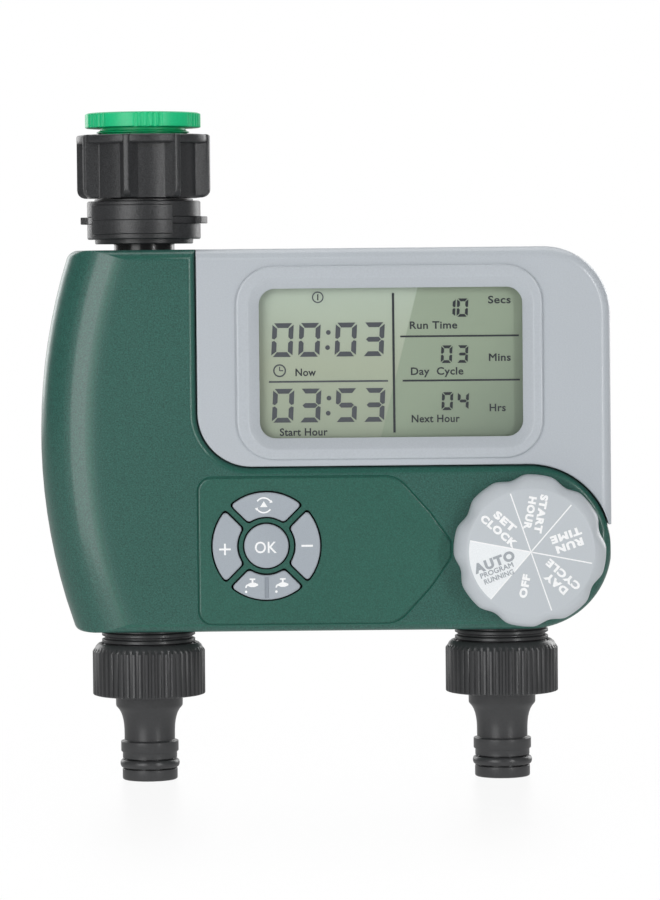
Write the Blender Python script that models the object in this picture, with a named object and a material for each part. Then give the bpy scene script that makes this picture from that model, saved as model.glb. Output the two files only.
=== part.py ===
"""Drip irrigation timer: two solenoid valves, a display and a keypad, hung from a tap by its inlet nut.

Lengths are in millimetres and become metres as points are made. X runs right, -Y is the front and
Z is up. The origin is the middle of the tap adapter's top face, on the inlet axis.
"""
import math

import bmesh
import bpy
from mathutils import Matrix

MM = 0.001
SMOOTH_ANGLE = math.radians(35)
FLAT_ANGLE = math.radians(0.05)

# Case: outline in X and Z, thickness in Y
CASE_TOP, CASE_BOTTOM, CASE_RIGHT = -38.6, -145.0, 130.0
CASE_FRONT, CASE_BACK = -24.0, 26.0
PARTING = 0.15
LEFT_BOW_RADIUS, LEFT_BOW_X, LEFT_BOW_Z = 164.0, -29.1, -90.5
TOP_LEFT_RADIUS, BOTTOM_LEFT_RADIUS, TOP_RIGHT_RADIUS = 3.4, 2.3, 18.5
FRONT_ROUND, LEFT_ROUND, BACK_ROUND = 3.3, 13.0, 5.0
FRONT_WALL_INNER, POCKET_DEEP, BACK_WALL_INNER = -22.0, -17.9, 23.8
WALL, FRONT_LEFT_WALL, POCKET_LEFT_WALL, REAR_WALL = 2.2, 4.5, 9.0, 2.6

# Split between the body shell and the display bezel
SPLIT_X, SPLIT_Z, SPLIT_RADIUS, SPLIT_GAP = 14.9, -99.3, 15.3, 0.3
LOBE_RADIUS = 22.85
BEZEL_TAIL_Z = -116.0
BODY_EDGE_ROUND, BEZEL_EDGE_ROUND = 2.0, 0.5

# Display window
RING_X, RING_Z, RING_RADIUS, RING_FRONT = (26.1, 111.1), (-97.1, -43.5), 10.5, -25.0
WINDOW_X, WINDOW_Z, WINDOW_RADIUS = (32.5, 105.6), (-91.2, -49.7), 4.5

# Keypad
PAD_X, PAD_Z = 34.0, -121.0
OK_RADIUS, OK_HOLE = 6.06, 6.4
ARC_INNER, ARC_OUTER, ARC_EDGE, KEY_GAP = 8.08, 15.0, 1.1, 0.4
KEY_FRONT, KEY_BACK = -24.8, -17.3
KEY_FLANGE_FRONT, KEY_FLANGE_BACK, KEY_FLANGE_LIP = -21.7, -20.7, 0.65
ROCKER_SET_BACK, ROCKER_PIVOT_Y = 0.6, -22.5
PAD_RECESS = 0.4

# Rotary selector
KNOB_X, KNOB_Z, KNOB_RADIUS = 107.0, -122.8, 21.1
KNOB_SCALLOPS, SCALLOP_DEPTH, SCALLOP_WIDTH, SCALLOP_START = 8, 1.2, 25.0, 15.0
SHAFT_RADIUS, SHAFT_HOLE = 3.0, 4.0

# Boards and display stack, front to back
LENS_Y, LCD_Y, HOLDER_Y = (-21.7, -20.1), (-19.8, -18.0), (-17.7, -14.6)
MAT_Y, SWITCH_Y, BOARD_Y = (-16.2, -14.6), (-19.8, -14.6), (-14.3, -12.7)

# Case screws: x, z and the front end of the post
POSTS = {
    "front_housing": ((-13.5, -48.5, -21.0), (-18.5, -104.0, -20.5), (62.0, -139.2, -22.5), (120.0, -127.0, -22.5)),
    "display_bezel": ((21.0, -48.0, -22.5), (118.0, -50.0, -22.5)),
}
POST_FRONT_RADIUS, POST_REAR_RADIUS = 3.2, 4.0
SCREW_SHANK, SCREW_HEAD, HEAD_CLEARANCE = 1.4, 2.8, 0.4
SCREW_TIP, SCREW_SEAT, SCREW_HEAD_TOP = -10.0, 23.7, 25.7

# Batteries and their cover on the back
CELL_RADIUS, CELL_Y, CELL_Z = 7.1, 13.0, (-59.8, -76.2)
TRAY_X, TRAY_Z, TRAY_Y, TRAY_WALL = (41.5, 100.0), (-85.2, -50.8), (4.0, 23.5), 1.5
COVER_X, COVER_Z, COVER_Y = (32.0, 109.5), (-87.7, -48.3), (26.3, 28.6)
COVER_SCREW_X, COVER_SCREW_Z = (36.5, 105.0), -68.0

# Waterways
INLET_X, VALVE_X, VALVE_Z = 0.0, (0.0, 100.0), -122.0
INLET_PIPE, INLET_BORE, INLET_TOP, INLET_END = 8.55, 6.0, -33.3, -104.0
DUCT_Y, DUCT_RADIUS, DUCT_BORE = -3.5, 6.8, 4.8
CHAMBER_RADIUS, CHAMBER_Y = 14.8, (-11.0, 4.3)
SEAT_RADIUS, SEAT_BORE, POCKET_RADIUS, POCKET_FLOOR = 6.0, 3.5, 12.0, -0.8
CHANNEL_Y, CHANNEL_RADIUS = -5.2, 2.8
STUB_RADIUS, STUB_ROOT, STUB_BORE, STUB_END = 13.2, 12.4, 8.5, -157.5
THREAD_PITCH = 1.814

# Inlet swivel
ADAPTER_RADIUS, ADAPTER_FLANGE, ADAPTER_THREAD, ADAPTER_END = 16.3, -4.2, 13.1, -17.4
NUT_RADIUS, NUT_TOP, NUT_BOTTOM, NUT_FIRST_RIB = 19.1, -6.2, -23.9, -57.0
COLLAR_RADIUS, PANEL_RADIUS, CLIP_Z, CLIP_TAB_ANGLE = 16.0, 16.6, (-31.2, -29.2), 76.0

# Quick-connect outlets
CONNECTOR_RIBS, CONNECTOR_RADIUS, CONNECTOR_ROOT = 54, 15.9, 15.35

# Looks: linear base colour, metallic, roughness
GREEN_BODY = ((0.065, 0.15, 0.135), 0.1, 0.38)
GREEN_BRIGHT = ((0.03, 0.55, 0.26), 0.0, 0.35)
GREY_LIGHT = ((0.52, 0.56, 0.59), 0.1, 0.35)
GREY_KEY = ((0.36, 0.40, 0.44), 0.0, 0.4)
GREY_PALE = ((0.60, 0.64, 0.67), 0.0, 0.35)
LCD_GLASS = ((0.36, 0.40, 0.35), 0.0, 0.3)
LENS_CLEAR = ((0.62, 0.66, 0.62), 0.0, 0.1)
BLACK_PLASTIC = ((0.025, 0.026, 0.028), 0.0, 0.45)
DARK_PLASTIC = ((0.07, 0.07, 0.075), 0.0, 0.5)
BLACK_RUBBER = ((0.02, 0.02, 0.02), 0.0, 0.8)
BOARD_GREEN = ((0.02, 0.16, 0.06), 0.0, 0.5)
STEEL = ((0.55, 0.56, 0.57), 1.0, 0.3)
COPPER_RED = ((0.45, 0.13, 0.05), 0.6, 0.4)
WHITE_PLASTIC = ((0.72, 0.72, 0.70), 0.0, 0.5)
CELL_WRAP = ((0.05, 0.06, 0.12), 0.3, 0.35)


def clear_scene():
    """Remove everything the new file came with."""
    for obj in list(bpy.data.objects):
        bpy.data.objects.remove(obj, do_unlink=True)
    for mesh in list(bpy.data.meshes):
        bpy.data.meshes.remove(mesh)


def object_from(name, bm):
    """Link a bmesh as a named object with its faces turned outward."""
    bmesh.ops.recalc_face_normals(bm, faces=bm.faces)
    mesh = bpy.data.meshes.new(name)
    bm.to_mesh(mesh)
    bm.free()
    obj = bpy.data.objects.new(name, mesh)
    bpy.context.scene.collection.objects.link(obj)
    return obj


def skin(bm, one, other):
    """Faces between two closed rings whose point counts are equal or divide evenly."""
    if len(one) < len(other):
        one, other = other, one
    ratio = len(one) // len(other)
    for i in range(len(one)):
        nearest, following = other[i // ratio], other[(i + 1) // ratio % len(other)]
        corners = dict.fromkeys((one[i], one[(i + 1) % len(one)], following, nearest))
        if len(corners) > 2:
            bm.faces.new(corners)


def axis_point(axis, centre, across, angle, along):
    """A point in metres at a radius and angle round an axis; centre holds the other two coordinates."""
    c, s = across * math.cos(angle), across * math.sin(angle)
    if axis == "X":
        point = (along, centre[0] + c, centre[1] + s)
    elif axis == "Y":
        point = (centre[0] + c, along, centre[1] + s)
    else:
        point = (centre[0] + s, centre[1] - c, along)
    return tuple(value * MM for value in point)


def turned(name, axis, centre, profile, steps=20, phase=0.0):
    """Revolve (radius, height) points. A radius may be (function of degrees, point count).

    The phase turns every ring by that part of a step.
    """
    bm = bmesh.new()
    rings = []
    for radius, along in profile:
        shape, count = radius if isinstance(radius, tuple) else (radius, steps)
        count = 1 if shape == 0 else count
        ring = []
        for i in range(count):
            across = shape(360 * i / count) if callable(shape) else shape
            angle = math.tau * (i + phase) / count
            ring.append(bm.verts.new(axis_point(axis, centre, across, angle, along)))
        rings.append(ring)
    for i, ring in enumerate(rings):
        following = rings[(i + 1) % len(rings)]
        if len(ring) > 1 or len(following) > 1:
            skin(bm, ring, following)
    return object_from(name, bm)


def rod(name, axis, centre, radius, start, end, steps=20, phase=0.0):
    """A plain cylinder."""
    return turned(name, axis, centre, [(0, start), (radius, start), (radius, end), (0, end)], steps, phase)


def tube(name, axis, centre, outer, inner, start, end, steps=20, phase=0.0):
    """A plain ring or pipe."""
    profile = [(inner, start), (outer, start), (outer, end), (inner, end)]
    return turned(name, axis, centre, profile, steps, phase)


def stack(name, layers, axis="Y"):
    """Join flat outlines, given as (height along axis, points), into one closed body."""
    bm = bmesh.new()
    rings = []
    for along, points in layers:
        order = (lambda u, v: (u, along, v)) if axis == "Y" else (lambda u, v: (u, v, along))
        rings.append([bm.verts.new([value * MM for value in order(u, v)]) for u, v in points])
    for one, other in zip(rings, rings[1:]):
        skin(bm, one, other)
    bm.faces.new(rings[0])
    bm.faces.new(rings[-1])
    return object_from(name, bm)


def box(name, xs, ys, zs):
    """A block between two values on each axis."""
    points = [(xs[0], zs[0]), (xs[1], zs[0]), (xs[1], zs[1]), (xs[0], zs[1])]
    return stack(name, [(ys[0], points), (ys[1], points)])


def corner_points(before, after, radius, steps):
    """Points round one corner between two directed lines, each (x, z, dx, dz)."""
    ax, az, adx, adz = before
    bx, bz, bdx, bdz = after
    cross = adx * bdz - adz * bdx
    reach = ((bx - ax) * bdz - (bz - az) * bdx) / cross
    x, z = ax + adx * reach, az + adz * reach
    if not steps:
        return [(x, z)]
    turn = math.atan2(cross, adx * bdx + adz * bdz)
    back = radius * math.tan(abs(turn) / 2)
    side = math.copysign(radius, turn)
    mid_x, mid_z = x - adx * back - adz * side, z - adz * back + adx * side
    points = []
    for i in range(steps + 1):
        c, s = math.cos(turn * i / steps), math.sin(turn * i / steps)
        out_x, out_z = adz * side, -adx * side
        points.append((mid_x + out_x * c - out_z * s, mid_z + out_x * s + out_z * c))
    return points


def outline(corners, insets):
    """Points round counter-clockwise (x, z, radius, steps) corners, each following edge moved inward."""
    lines = []
    for i, (x, z, _radius, _steps) in enumerate(corners):
        next_x, next_z = corners[(i + 1) % len(corners)][:2]
        length = math.hypot(next_x - x, next_z - z)
        dx, dz = (next_x - x) / length, (next_z - z) / length
        lines.append((x - dz * insets[i], z + dx * insets[i], dx, dz))
    points = []
    for i, (_x, _z, radius, steps) in enumerate(corners):
        before, after = lines[i - 1], lines[i]
        outward = before[2] * after[3] < before[3] * after[2]
        inset = (insets[i - 1] + insets[i]) / 2
        points += corner_points(before, after, max(radius + (inset if outward else -inset), 0.1), steps)
    return points


def rounded_rectangle(xs, zs, radius, steps=4):
    """A rectangle with equal corner radii."""
    corners = [(xs[0], zs[0]), (xs[1], zs[0]), (xs[1], zs[1]), (xs[0], zs[1])]
    return outline([(x, z, radius, steps) for x, z in corners], [0.0] * 4)


def grown(span, by):
    """A range made longer by the same amount at both ends."""
    return span[0] - by, span[1] + by


def boolean(target, tool, operation):
    """Apply one exact boolean and remove the tool."""
    tool.hide_render = True
    tool.display_type = "WIRE"
    step = target.modifiers.new(operation.title(), "BOOLEAN")
    step.operation, step.solver, step.object = operation, "EXACT", tool
    graph = bpy.context.evaluated_depsgraph_get()
    mesh = bpy.data.meshes.new_from_object(target.evaluated_get(graph))
    old, target.data = target.data, mesh
    target.modifiers.clear()
    bpy.data.meshes.remove(old)
    tool_mesh = tool.data
    bpy.data.objects.remove(tool, do_unlink=True)
    bpy.data.meshes.remove(tool_mesh)
    tidy(mesh)


def tidy(mesh):
    """Weld points closer than two thousandths of a millimetre and merge faces that lie in one plane."""
    bm = bmesh.new()
    bm.from_mesh(mesh)
    bmesh.ops.remove_doubles(bm, verts=bm.verts, dist=2e-6)
    bmesh.ops.dissolve_degenerate(bm, edges=bm.edges, dist=1e-6)
    bmesh.ops.dissolve_limit(bm, angle_limit=FLAT_ANGLE, verts=bm.verts, edges=bm.edges)
    bm.to_mesh(mesh)
    bm.free()


def cut(target, *tools):
    for tool in tools:
        boolean(target, tool, "DIFFERENCE")
    return target


def join(target, *tools):
    for tool in tools:
        boolean(target, tool, "UNION")
    return target


def keep(target, tool):
    boolean(target, tool, "INTERSECT")
    return target


def finish(obj, look, pivot=None):
    """Put the origin on the pivot, shade the round faces smooth and give the piece its own material."""
    if pivot:
        obj.location = [value * MM for value in pivot]
        obj.data.transform(Matrix.Translation(-obj.location))
    obj.data.shade_smooth()
    obj.data.set_sharp_from_angle(angle=SMOOTH_ANGLE)
    colour, metallic, roughness = look
    surface = bpy.data.materials.new(obj.name + "_surface")
    surface.use_nodes = True
    shader = surface.node_tree.nodes["Principled BSDF"]
    shader.inputs["Base Color"].default_value = (*colour, 1.0)
    shader.inputs["Metallic"].default_value = metallic
    shader.inputs["Roughness"].default_value = roughness
    obj.data.materials.clear()
    obj.data.materials.append(surface)
    return obj


# Case shells

def left_edge_x(z):
    """The case's bowed left side."""
    return LEFT_BOW_X + LEFT_BOW_RADIUS - math.sqrt(LEFT_BOW_RADIUS ** 2 - (z - LEFT_BOW_Z) ** 2)


def left_corners():
    """The top-left corner, points down the bow, and the bottom-left corner."""
    top = (left_edge_x(CASE_TOP), CASE_TOP, TOP_LEFT_RADIUS, 3)
    bottom = (left_edge_x(CASE_BOTTOM), CASE_BOTTOM, BOTTOM_LEFT_RADIUS, 3)
    bow = [(left_edge_x(z), z, 0, 0) for z in (-55.0, -72.0, -90.5, -109.0, -127.0)]
    return [top, *bow, bottom]


def case_outline(inset, left_inset):
    """The whole case, its sides moved inward and its bowed side by its own amount."""
    right = [(CASE_RIGHT, CASE_BOTTOM, LOBE_RADIUS, 8), (CASE_RIGHT, CASE_TOP, TOP_RIGHT_RADIUS, 6)]
    return outline(right + left_corners(), [inset, inset] + [left_inset] * 6 + [inset])


def body_outline(inset, left_inset):
    """The body shell's own front: the left column, the keypad band and the selector lobe."""
    right = CASE_RIGHT - SPLIT_GAP
    corners = [
        (right, CASE_BOTTOM, LOBE_RADIUS - 0.05, 8),
        (right, SPLIT_Z, LOBE_RADIUS - 0.05, 8),
        (SPLIT_X, SPLIT_Z, SPLIT_RADIUS, 5),
        (SPLIT_X, CASE_TOP, 0, 0),
    ]
    return outline(corners + left_corners(), [inset] * 4 + [left_inset] * 6 + [inset])


def round_inset(radius, depth):
    """How far a quarter round stands back from its side at a depth behind its face."""
    if depth >= radius:
        return 0.0
    return radius - math.sqrt(radius ** 2 - (radius - depth) ** 2)


def front_blank(name):
    """The solid both front shells are trimmed from."""
    layers = []
    for depth in (0.0, 0.5, 1.6, FRONT_ROUND, 6.0, 9.2, LEFT_ROUND):
        points = case_outline(round_inset(FRONT_ROUND, depth), round_inset(LEFT_ROUND, depth))
        layers.append((CASE_FRONT + depth, points))
    return stack(name, layers + [(-PARTING, case_outline(0, 0))])


def body_region(name):
    """Everything in front of the parting plane that belongs to the body shell."""
    def region(round_off):
        right, reach = CASE_RIGHT - SPLIT_GAP, 20.0
        corners = [
            (right, CASE_BOTTOM - reach, 0, 0),
            (right, SPLIT_Z, LOBE_RADIUS, 10),
            (SPLIT_X, SPLIT_Z, SPLIT_RADIUS, 6),
            (SPLIT_X, CASE_TOP + reach, 0, 0),
            (LEFT_BOW_X - reach, CASE_TOP + reach, 0, 0),
            (LEFT_BOW_X - reach, CASE_BOTTOM - reach, 0, 0),
        ]
        return outline(corners, [round_off, round_off, round_off, 0, 0, 0])
    layers = [(CASE_FRONT - 1, region(BODY_EDGE_ROUND))]
    for depth in (0.0, 0.3, 0.9, BODY_EDGE_ROUND):
        layers.append((CASE_FRONT + depth, region(round_inset(BODY_EDGE_ROUND, depth))))
    return stack(name, layers + [(1.0, region(0))])


def bezel_region(name):
    """Everything in front of the parting plane that belongs to the display bezel."""
    def region(round_off):
        left, bottom, reach = SPLIT_X + SPLIT_GAP, SPLIT_Z + SPLIT_GAP, 20.0
        corners = [
            (left, bottom, SPLIT_RADIUS - SPLIT_GAP, 6),
            (CASE_RIGHT, bottom, LOBE_RADIUS + SPLIT_GAP, 10),
            (CASE_RIGHT, CASE_BOTTOM, 0, 0),
            (CASE_RIGHT + reach, CASE_BOTTOM, 0, 0),
            (CASE_RIGHT + reach, CASE_TOP + reach, 0, 0),
            (left, CASE_TOP + reach, 0, 0),
        ]
        return outline(corners, [round_off, round_off, 0, 0, 0, round_off])
    edge = BEZEL_EDGE_ROUND
    layers = [(CASE_FRONT - 1, region(edge)), (CASE_FRONT, region(edge)), (CASE_FRONT + edge, region(0)), (1.0, region(0))]
    block = stack(name, layers)
    return cut(block, box("tail", (110.0, 160.0), (-30.0, 5.0), (-170.0, BEZEL_TAIL_Z)))


def front_interior(name):
    """The space behind the front shells that both of them share."""
    points = case_outline(WALL, FRONT_LEFT_WALL)
    return stack(name, [(POCKET_DEEP - 0.1, points), (1.0, points)])


def post_places():
    return [place for places in POSTS.values() for place in places]


def add_front_posts(shell):
    """Screw posts with blind holes."""
    for x, z, front in POSTS[shell.name]:
        join(shell, rod("post", "Y", (x, z), POST_FRONT_RADIUS, front, -PARTING, 10))
        cut(shell, rod("hole", "Y", (x, z), SCREW_SHANK + 0.4, SCREW_TIP - 2, 2, 8, 0.5))


def sector_outline(inner, outer, start, end, edge, steps=5):
    """A ring sector between two angles in degrees, each straight side moved in by edge."""
    points = []
    for radius, ends in ((outer, (start, end)), (inner, (end, start))):
        trim = math.degrees(math.asin(edge / radius)) * (1 if ends[0] < ends[1] else -1)
        first, last = ends[0] + trim, ends[1] - trim
        for i in range(steps + 1):
            angle = math.radians(first + (last - first) * i / steps)
            points.append((radius * math.cos(angle), radius * math.sin(angle)))
    return points


def shifted(points, x, z):
    return [(px + x, pz + z) for px, pz in points]


def key_sector(middle, gap):
    """One curved key, or the hole it sits in, made larger by gap."""
    points = sector_outline(ARC_INNER - gap, ARC_OUTER + gap, middle - 45, middle + 45, ARC_EDGE - gap)
    return shifted(points, PAD_X, PAD_Z)


def keypad_recess(name):
    """The shallow panel round the keys, pointed toward the selector."""
    corners = [
        (15.0, -142.9, 3.3, 3), (70.4, -142.9, 3.0, 2), (79.6, -132.9, 0, 0), (85.4, -124.6, 2.0, 2),
        (85.5, -120.4, 2.0, 2), (79.7, -112.2, 0, 0), (70.4, -101.8, 3.0, 2), (15.0, -101.8, 3.3, 3),
    ]
    points = outline(corners, [0.0] * 8)
    return stack(name, [(CASE_FRONT - 2, points), (CASE_FRONT + PAD_RECESS, points)])


def front_housing():
    """The body shell's front half, with the keypad and selector openings."""
    shell = keep(front_blank("front_housing"), body_region("region"))
    pocket = body_outline(WALL, POCKET_LEFT_WALL)
    cut(shell, stack("pocket", [(FRONT_WALL_INNER, pocket), (POCKET_DEEP, pocket)]), front_interior("interior"))
    add_front_posts(shell)
    cut(shell, keypad_recess("recess"), rod("ok", "Y", (PAD_X, PAD_Z), OK_HOLE, -26, -20))
    for middle in (0, 90, 180, 270):
        points = key_sector(middle, KEY_GAP)
        cut(shell, stack("key", [(-26, points), (-20, points)]))
    cut(shell, rod("shaft", "Y", (KNOB_X, KNOB_Z), SHAFT_HOLE, -26, -20, 16), *pipe_holes())
    return finish(shell, GREEN_BODY)


def pipe_holes():
    """Clearance for the inlet and the two outlets where they leave the case."""
    holes = [rod("inlet", "Z", (INLET_X, 0), INLET_PIPE + 0.45, CASE_TOP - 6, CASE_TOP + 6)]
    for x in VALVE_X:
        holes.append(rod("outlet", "Z", (x, 0), STUB_RADIUS + 0.4, CASE_BOTTOM - 6, CASE_BOTTOM + 4, 28))
    return holes


def display_bezel():
    """The light front shell that frames the display."""
    shell = keep(front_blank("display_bezel"), bezel_region("region"))
    ring_front = rounded_rectangle(grown(RING_X, -0.8), grown(RING_Z, -0.8), RING_RADIUS - 0.8)
    ring_base = rounded_rectangle(RING_X, RING_Z, RING_RADIUS)
    join(shell, stack("ring", [(RING_FRONT, ring_front), (RING_FRONT + 0.8, ring_base), (-23.0, ring_base)]))
    window = rounded_rectangle(WINDOW_X, WINDOW_Z, WINDOW_RADIUS)
    mouth = rounded_rectangle(grown(WINDOW_X, 2.6), grown(WINDOW_Z, 2.6), WINDOW_RADIUS + 2.6)
    cut(shell, stack("window", [(RING_FRONT - 0.5, mouth), (-22.9, window), (-21.0, window)]))
    corners = [
        (SPLIT_X + SPLIT_GAP + WALL, SPLIT_Z + SPLIT_GAP + WALL, 12.8, 4),
        (CASE_RIGHT - WALL, SPLIT_Z + SPLIT_GAP + WALL, 0, 0),
        (CASE_RIGHT - WALL, CASE_TOP - WALL, TOP_RIGHT_RADIUS - WALL, 5),
        (SPLIT_X + SPLIT_GAP + WALL, CASE_TOP - WALL, 0, 0),
    ]
    pocket = outline(corners, [0.0] * 4)
    cut(shell, stack("pocket", [(FRONT_WALL_INNER, pocket), (POCKET_DEEP, pocket)]), front_interior("interior"))
    add_front_posts(shell)
    return finish(shell, GREY_LIGHT)


def rear_housing():
    """The back half of the case, with screw posts and the battery opening."""
    layers = [(PARTING, case_outline(0, 0))]
    for depth in (BACK_ROUND, 2.6, 0.8, 0.0):
        inset = round_inset(BACK_ROUND, depth)
        layers.append((CASE_BACK - depth, case_outline(inset, inset)))
    shell = stack("rear_housing", layers)
    inner = case_outline(REAR_WALL, REAR_WALL)
    cut(shell, stack("interior", [(-1.0, inner), (BACK_WALL_INNER, inner)]))
    for x, z, _front in post_places():
        join(shell, rod("post", "Y", (x, z), POST_REAR_RADIUS, PARTING, BACK_WALL_INNER + 0.5, 12))
        cut(shell, rod("hole", "Y", (x, z), SCREW_SHANK + 0.4, -1, 27, 8, 0.5))
        cut(shell, rod("seat", "Y", (x, z), SCREW_HEAD + HEAD_CLEARANCE, SCREW_SEAT - 0.3, 27, 10))
    for x in COVER_SCREW_X:
        join(shell, rod("boss", "Y", (x, COVER_SCREW_Z), 3.8, 14, BACK_WALL_INNER + 0.5, 10))
        cut(shell, rod("hole", "Y", (x, COVER_SCREW_Z), SCREW_SHANK + 0.4, 15, 27, 8, 0.5))
    seat = (grown(TRAY_X, -TRAY_WALL), grown(TRAY_Z, -TRAY_WALL))
    cut(shell, box("opening", seat[0], (20.0, 27.0), seat[1]), seal_frame("groove", 0.25, (25.0, 27.0)))
    return finish(cut(shell, *pipe_holes()), GREEN_BODY)


def seal_frame(name, spare, ys):
    """The battery cover's seal, or its groove when made larger by spare."""
    outer = rounded_rectangle(grown(TRAY_X, 1.2 + spare), grown(TRAY_Z, 1.2 + spare), 2.5, 2)
    inner = rounded_rectangle(grown(TRAY_X, -spare), grown(TRAY_Z, -spare), 1.3, 2)
    frame = stack(name, [(ys[0], outer), (ys[1], outer)])
    return cut(frame, stack("middle", [(ys[0] - 1, inner), (ys[1] + 1, inner)]))


def case_screws():
    """Six screws driven in from the back."""
    for number, (x, z, _front) in enumerate(post_places(), start=1):
        finish(screw(f"housing_screw_{number}", (x, z), SCREW_TIP, SCREW_SEAT, SCREW_HEAD_TOP, SCREW_HEAD), STEEL)


def screw(name, centre, tip, seat, top, head):
    """A slotted pan-head screw along Y."""
    profile = [(0, tip), (SCREW_SHANK, tip + 1.5), (SCREW_SHANK, seat), (head, seat), (head, top - 0.4)]
    body = turned(name, "Y", centre, profile + [(head * 0.8, top), (0, top)], 10)
    x, z = centre
    return cut(body, box("slot", (x - 0.35, x + 0.35), (top - 0.9, top + 1), (z - 1.7, z + 1.7)))


# Display, boards, keypad and selector

def display_stack():
    """Lens, display, its holder, the main board and the keypad mat."""
    lens = rounded_rectangle((31.0, 107.0), (-92.7, -48.2), 4.0, 3)
    finish(stack("display_lens", [(LENS_Y[0], lens), (LENS_Y[1], lens)]), LENS_CLEAR)
    finish(box("lcd_panel", (31.5, 106.5), LCD_Y, (-92.2, -48.7)), LCD_GLASS)
    holder = box("lcd_holder", (30.0, 108.0), HOLDER_Y, (-93.5, -47.5))
    cut(holder, box("middle", (34.0, 104.0), (-20, -10), (-89.5, -51.5)))
    finish(holder, DARK_PLASTIC)
    board = box("main_board", (27.0, 110.0), BOARD_Y, (-105.0, -46.0))
    finish(join(board, box("arm", (14.0, 115.0), (BOARD_Y[0], BOARD_Y[1]), (-134.0, -104.0))), BOARD_GREEN)
    mat = [(0, MAT_Y[1]), (18.0, MAT_Y[1]), (18.0, -15.4), (4.5, -15.4), (4.0, MAT_Y[0]), (0, MAT_Y[0])]
    finish(turned("keypad_mat", "Y", (PAD_X, PAD_Z), mat, 20), BLACK_RUBBER)


def keys():
    """The round OK key and the four curved keys, each held behind the panel by a flange.

    The lower key rocks, so its flange stands further back and its pivot is in the panel's thickness.
    """
    lip = KEY_FLANGE_LIP
    profile = [
        (0, KEY_BACK), (2.5, KEY_BACK), (2.5, KEY_FLANGE_BACK), (OK_RADIUS + lip, KEY_FLANGE_BACK),
        (OK_RADIUS + lip, KEY_FLANGE_FRONT), (OK_RADIUS, KEY_FLANGE_FRONT), (OK_RADIUS, KEY_FRONT + 0.5),
        (OK_RADIUS - 0.5, KEY_FRONT), (0, KEY_FRONT),
    ]
    finish(turned("button_ok", "Y", (PAD_X, PAD_Z), profile, 20), GREY_KEY, (PAD_X, KEY_FRONT, PAD_Z))
    for name, middle in (("minus", 0), ("cycle", 90), ("plus", 180), ("valves", 270)):
        face, top, flange = key_sector(middle, 0), key_sector(middle, -0.5), key_sector(middle, lip)
        stem_x = PAD_X + 11.5 * math.cos(math.radians(middle))
        stem_z = PAD_Z + 11.5 * math.sin(math.radians(middle))
        key = stack(f"button_{name}", [(KEY_FRONT, top), (KEY_FRONT + 0.5, face), (KEY_FLANGE_BACK - 0.3, face)])
        back = ROCKER_SET_BACK if name == "valves" else 0.0
        join(key, stack("flange", [(KEY_FLANGE_FRONT + back, flange), (KEY_FLANGE_BACK + back, flange)]))
        join(key, rod("stem", "Y", (stem_x, stem_z), 2.0, KEY_FLANGE_BACK - 0.5, KEY_BACK, 10))
        finish(key, GREY_KEY, (stem_x, ROCKER_PIVOT_Y if name == "valves" else KEY_FRONT, stem_z))


def knob_edge(radius):
    """A radius with the knob's finger scallops, as a function of degrees from +X."""
    def shape(degrees):
        step = 360 / KNOB_SCALLOPS
        off = abs((degrees - SCALLOP_START + step / 2) % step - step / 2)
        dip = 0.5 + 0.5 * math.cos(math.pi * min(off / (SCALLOP_WIDTH / 2), 1.0))
        return radius - SCALLOP_DEPTH * dip
    return shape, 64


def selector():
    """Knob, shaft and rotary switch."""
    centre, pivot = (KNOB_X, KNOB_Z), (KNOB_X, -24.3, KNOB_Z)
    profile = [
        (0, -33.0), (knob_edge(18.0), -33.0), (knob_edge(20.1), -31.0),
        (knob_edge(KNOB_RADIUS), -27.0), (knob_edge(KNOB_RADIUS), -24.3), (17.5, -24.3), (16.5, -30.8),
        (6.5, -30.8), (6.5, -24.9), (SHAFT_RADIUS + 0.2, -24.9), (SHAFT_RADIUS + 0.2, -31.3), (0, -31.3),
    ]
    finish(turned("selector_knob", "Y", centre, profile, 16), GREY_PALE, pivot)
    finish(rod("selector_shaft", "Y", centre, SHAFT_RADIUS, -31.0, -14.9, 16), WHITE_PLASTIC, pivot)
    switch = box("selector_switch", (99.5, 114.5), SWITCH_Y, (-130.5, -115.0))
    cut(switch, rod("bore", "Y", centre, SHAFT_RADIUS + 0.3, -25, -10, 16))
    finish(switch, DARK_PLASTIC)


# Batteries

def mirrored_in_tray(x):
    """The same place measured from the tray's other end."""
    return TRAY_X[0] + TRAY_X[1] - x


def coil_spring(name, axis, centre, radii, ends, turns, wire, per_turn=10):
    """A round spring of square-section wire whose radius runs between two values."""
    bm = bmesh.new()
    rings, count = [], round(turns * per_turn)
    for i in range(count + 1):
        part = i / count
        angle, along = math.tau * turns * part, ends[0] + (ends[1] - ends[0]) * part
        radius = radii[0] + (radii[1] - radii[0]) * part
        section = [(-wire, -wire), (wire, -wire), (wire, wire), (-wire, wire)]
        rings.append([bm.verts.new(axis_point(axis, centre, radius + r, angle, along + h)) for r, h in section])
    for one, other in zip(rings, rings[1:]):
        skin(bm, one, other)
    bm.faces.new(rings[0])
    bm.faces.new(rings[-1])
    return object_from(name, bm)


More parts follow.
